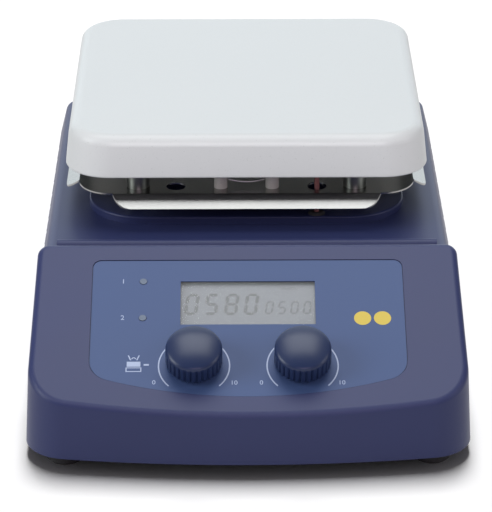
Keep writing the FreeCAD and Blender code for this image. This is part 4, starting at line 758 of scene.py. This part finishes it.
def knob_section(size, slope, rim):
    """Radius and height from the inner wall round the foot, up the side, over the edge and dome."""
    inner = size.knob_radius - size.knob_wall
    edge_centre = size.knob_radius - size.knob_edge
    side_foot = size.knob_gap + size.knob_chamfer
    section = [(inner, rim - size.knob_wall), (inner, size.knob_gap),
               (size.knob_radius - size.knob_chamfer, size.knob_gap)]
    for step in range(SIDE_STEPS + 1):
        section.append((size.knob_radius, side_foot + (rim - side_foot) * step / SIDE_STEPS))
    for step in range(1, EDGE_STEPS + 1):
        turn = (math.radians(90) - slope) * step / EDGE_STEPS
        section.append((edge_centre + size.knob_edge * math.cos(turn),
                        rim + size.knob_edge * math.sin(turn)))
    for step in range(1, DOME_STEPS + 1):
        turn = slope * (1 - step / DOME_STEPS)
        section.append((size.knob_crown * math.sin(turn),
                        size.knob_height - size.knob_crown * (1 - math.cos(turn))))
    return section


def flute(bm, size, rim):
    """Press grooves into the side, running out towards the top."""
    inner = size.knob_radius - size.knob_wall
    for vert in bm.verts:
        reach = vert.co.xy.length
        if reach < inner + TOUCH:
            continue
        wave = abs(math.sin(math.atan2(vert.co.y, vert.co.x) * size.knob_ribs / 2))
        groove = 1 - min(1.0, wave / GROOVE_SHARE) ** GROOVE_STEEPNESS
        fade = min(1.0, max(0.0, (rim + size.groove_end - vert.co.z) / size.groove_fade))
        depth = size.groove * groove * math.sqrt(fade)
        if vert.co.z < size.knob_gap + TOUCH:
            depth *= GROOVE_FOOT
        vert.co.xy *= (reach - depth) / reach


class STIRRER_OT_knobs(bpy.types.Operator):
    """Two ribbed knobs with domed tops"""

    bl_idname = "stirrer.knobs"
    bl_label = "Knobs"

    def execute(self, context):
        size = sizes()
        # The dome's sphere and the edge's torus meet where both have the same slope.
        reach = size.knob_crown - size.knob_edge
        slope = math.asin((size.knob_radius - size.knob_edge) / reach)
        rim = size.knob_height - size.knob_crown + reach * math.cos(slope)
        plastic = moulded("knob_plastic", colours().knob, 0.32, grain=3000, depth=0.012 * MM, gloss=0.34)
        for side, name in ((-1, "left"), (1, "right")):
            bm = bmesh.new()
            verts = [bm.verts.new((radius, 0, z)) for radius, z in knob_section(size, slope, rim)]
            edges = [bm.edges.new(pair) for pair in zip(verts, verts[1:])]
            bmesh.ops.spin(bm, geom=verts + edges, cent=(0, 0, 0), axis=(0, 0, 1), angle=math.radians(360),
                           steps=size.knob_ribs * STEPS_PER_RIB, use_merge=True)
            merged(bm)
            flute(bm, size, rim)
            put(bm, panel_place(side * size.dial_side, size.dial_centre))
            knob = finish_piece(name + "_knob_cap", bm, name + "_dial", plastic,
                                crisp=math.radians(50))
            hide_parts(name + "_knob")
        dress(turned("shaft_metal", (0.70, 0.71, 0.73), 0.22), "left_shaft", "right_shaft")
        return {"FINISHED"}


class STIRRER_OT_rear_fittings(bpy.types.Operator):
    """Inlet, fuse drawer, switch, probe socket and rod bush"""

    bl_idname = "stirrer.rear_fittings"
    bl_label = "Rear fittings"

    def execute(self, context):
        dress(moulded("fitting_black", (0.018, 0.018, 0.020), 0.40),
              "inlet_housing", "fuse_drawer", "switch_body")
        dress(moulded("rocker_black", (0.012, 0.012, 0.014), 0.28), "power_rocker")
        dress(turned("contact_brass", (0.62, 0.50, 0.28), 0.22), "inlet_pins", "probe_socket")
        dress(turned("bush_steel", (0.58, 0.58, 0.60), 0.24), "rod_bush")
        dress(clear("fuse_glass", (0.80, 0.82, 0.80), 0.5), "fuses")
        return {"FINISHED"}


class STIRRER_OT_inside(bpy.types.Operator):
    """Motor, boards and fastenings that show only through the vents"""

    bl_idname = "stirrer.inside"
    bl_label = "Inside"

    def execute(self, context):
        dress(rolled("zinc_sheet", (0.60, 0.61, 0.62), 0.30),
              "motor_bracket", "motor_end_plate", "motor_case")
        dress(turned("bearing_steel", (0.62, 0.62, 0.64), 0.18),
              "motor_bearings", "motor_shaft", "rotor_core")
        dress(rolled("core_laminations", (0.30, 0.30, 0.32), 0.45, grain=(3, 3, 900)), "stator_core")
        dress(moulded("carrier_plastic", (0.03, 0.03, 0.035), 0.5), "magnet_carrier")
        dress(turned("magnet_nickel", (0.66, 0.65, 0.62), 0.16), "drive_magnets")
        dress(circuit("board_mask"), "main_board", "display_board")
        dress(turned("spacer_brass", (0.62, 0.48, 0.22), 0.25), "board_spacers")
        dress(coated("winding_tape", (0.45, 0.30, 0.05), 0.5), "transformer")
        dress(moulded("capacitor_sleeve", (0.02, 0.03, 0.08), 0.3), "capacitors")
        dress(rolled("sink_aluminium", (0.60, 0.61, 0.62), 0.35), "heat_sink")
        dress(moulded("triac_resin", (0.02, 0.02, 0.022), 0.45), "triac", "left_encoder", "right_encoder")
        dress(turned("screw_zinc", (0.62, 0.63, 0.64), 0.26), "case_screws", "tray_screws", "display_screws",
              "left_plunger", "right_plunger")
        return {"FINISHED"}


class STIRRER_PT_sidebar(bpy.types.Panel):
    """Lists the steps of the dressing"""

    bl_idname = "STIRRER_PT_sidebar"
    bl_label = "Hotplate stirrer"
    bl_space_type = "VIEW_3D"
    bl_region_type = "UI"
    bl_category = "Stirrer"

    def draw(self, context):
        for operator in OPERATORS:
            self.layout.operator(operator.bl_idname)
        for group in (context.scene.stirrer_sizes, context.scene.stirrer_colours):
            column = self.layout.column()
            for name in group.__annotations__:
                column.prop(group, name)


OPERATORS = (STIRRER_OT_stage, STIRRER_OT_housings, STIRRER_OT_plate, STIRRER_OT_tray,
             STIRRER_OT_panel_print, STIRRER_OT_display, STIRRER_OT_knobs, STIRRER_OT_rear_fittings,
             STIRRER_OT_inside)
CLASSES = (StirrerSizes, StirrerColours, *OPERATORS, STIRRER_PT_sidebar)


def register():
    for entry in CLASSES:
        bpy.utils.register_class(entry)
    bpy.types.Scene.stirrer_sizes = bpy.props.PointerProperty(type=StirrerSizes)
    bpy.types.Scene.stirrer_colours = bpy.props.PointerProperty(type=StirrerColours)


def unregister():
    del bpy.types.Scene.stirrer_colours
    del bpy.types.Scene.stirrer_sizes
    for entry in reversed(CLASSES):
        bpy.utils.unregister_class(entry)


def main():
    register()
    bpy.ops.stirrer.stage()
    bpy.ops.stirrer.housings()
    bpy.ops.stirrer.plate()
    bpy.ops.stirrer.tray()
    bpy.ops.stirrer.panel_print()
    bpy.ops.stirrer.display()
    bpy.ops.stirrer.knobs()
    bpy.ops.stirrer.rear_fittings()
    bpy.ops.stirrer.inside()


if __name__ == "__main__":
    main()
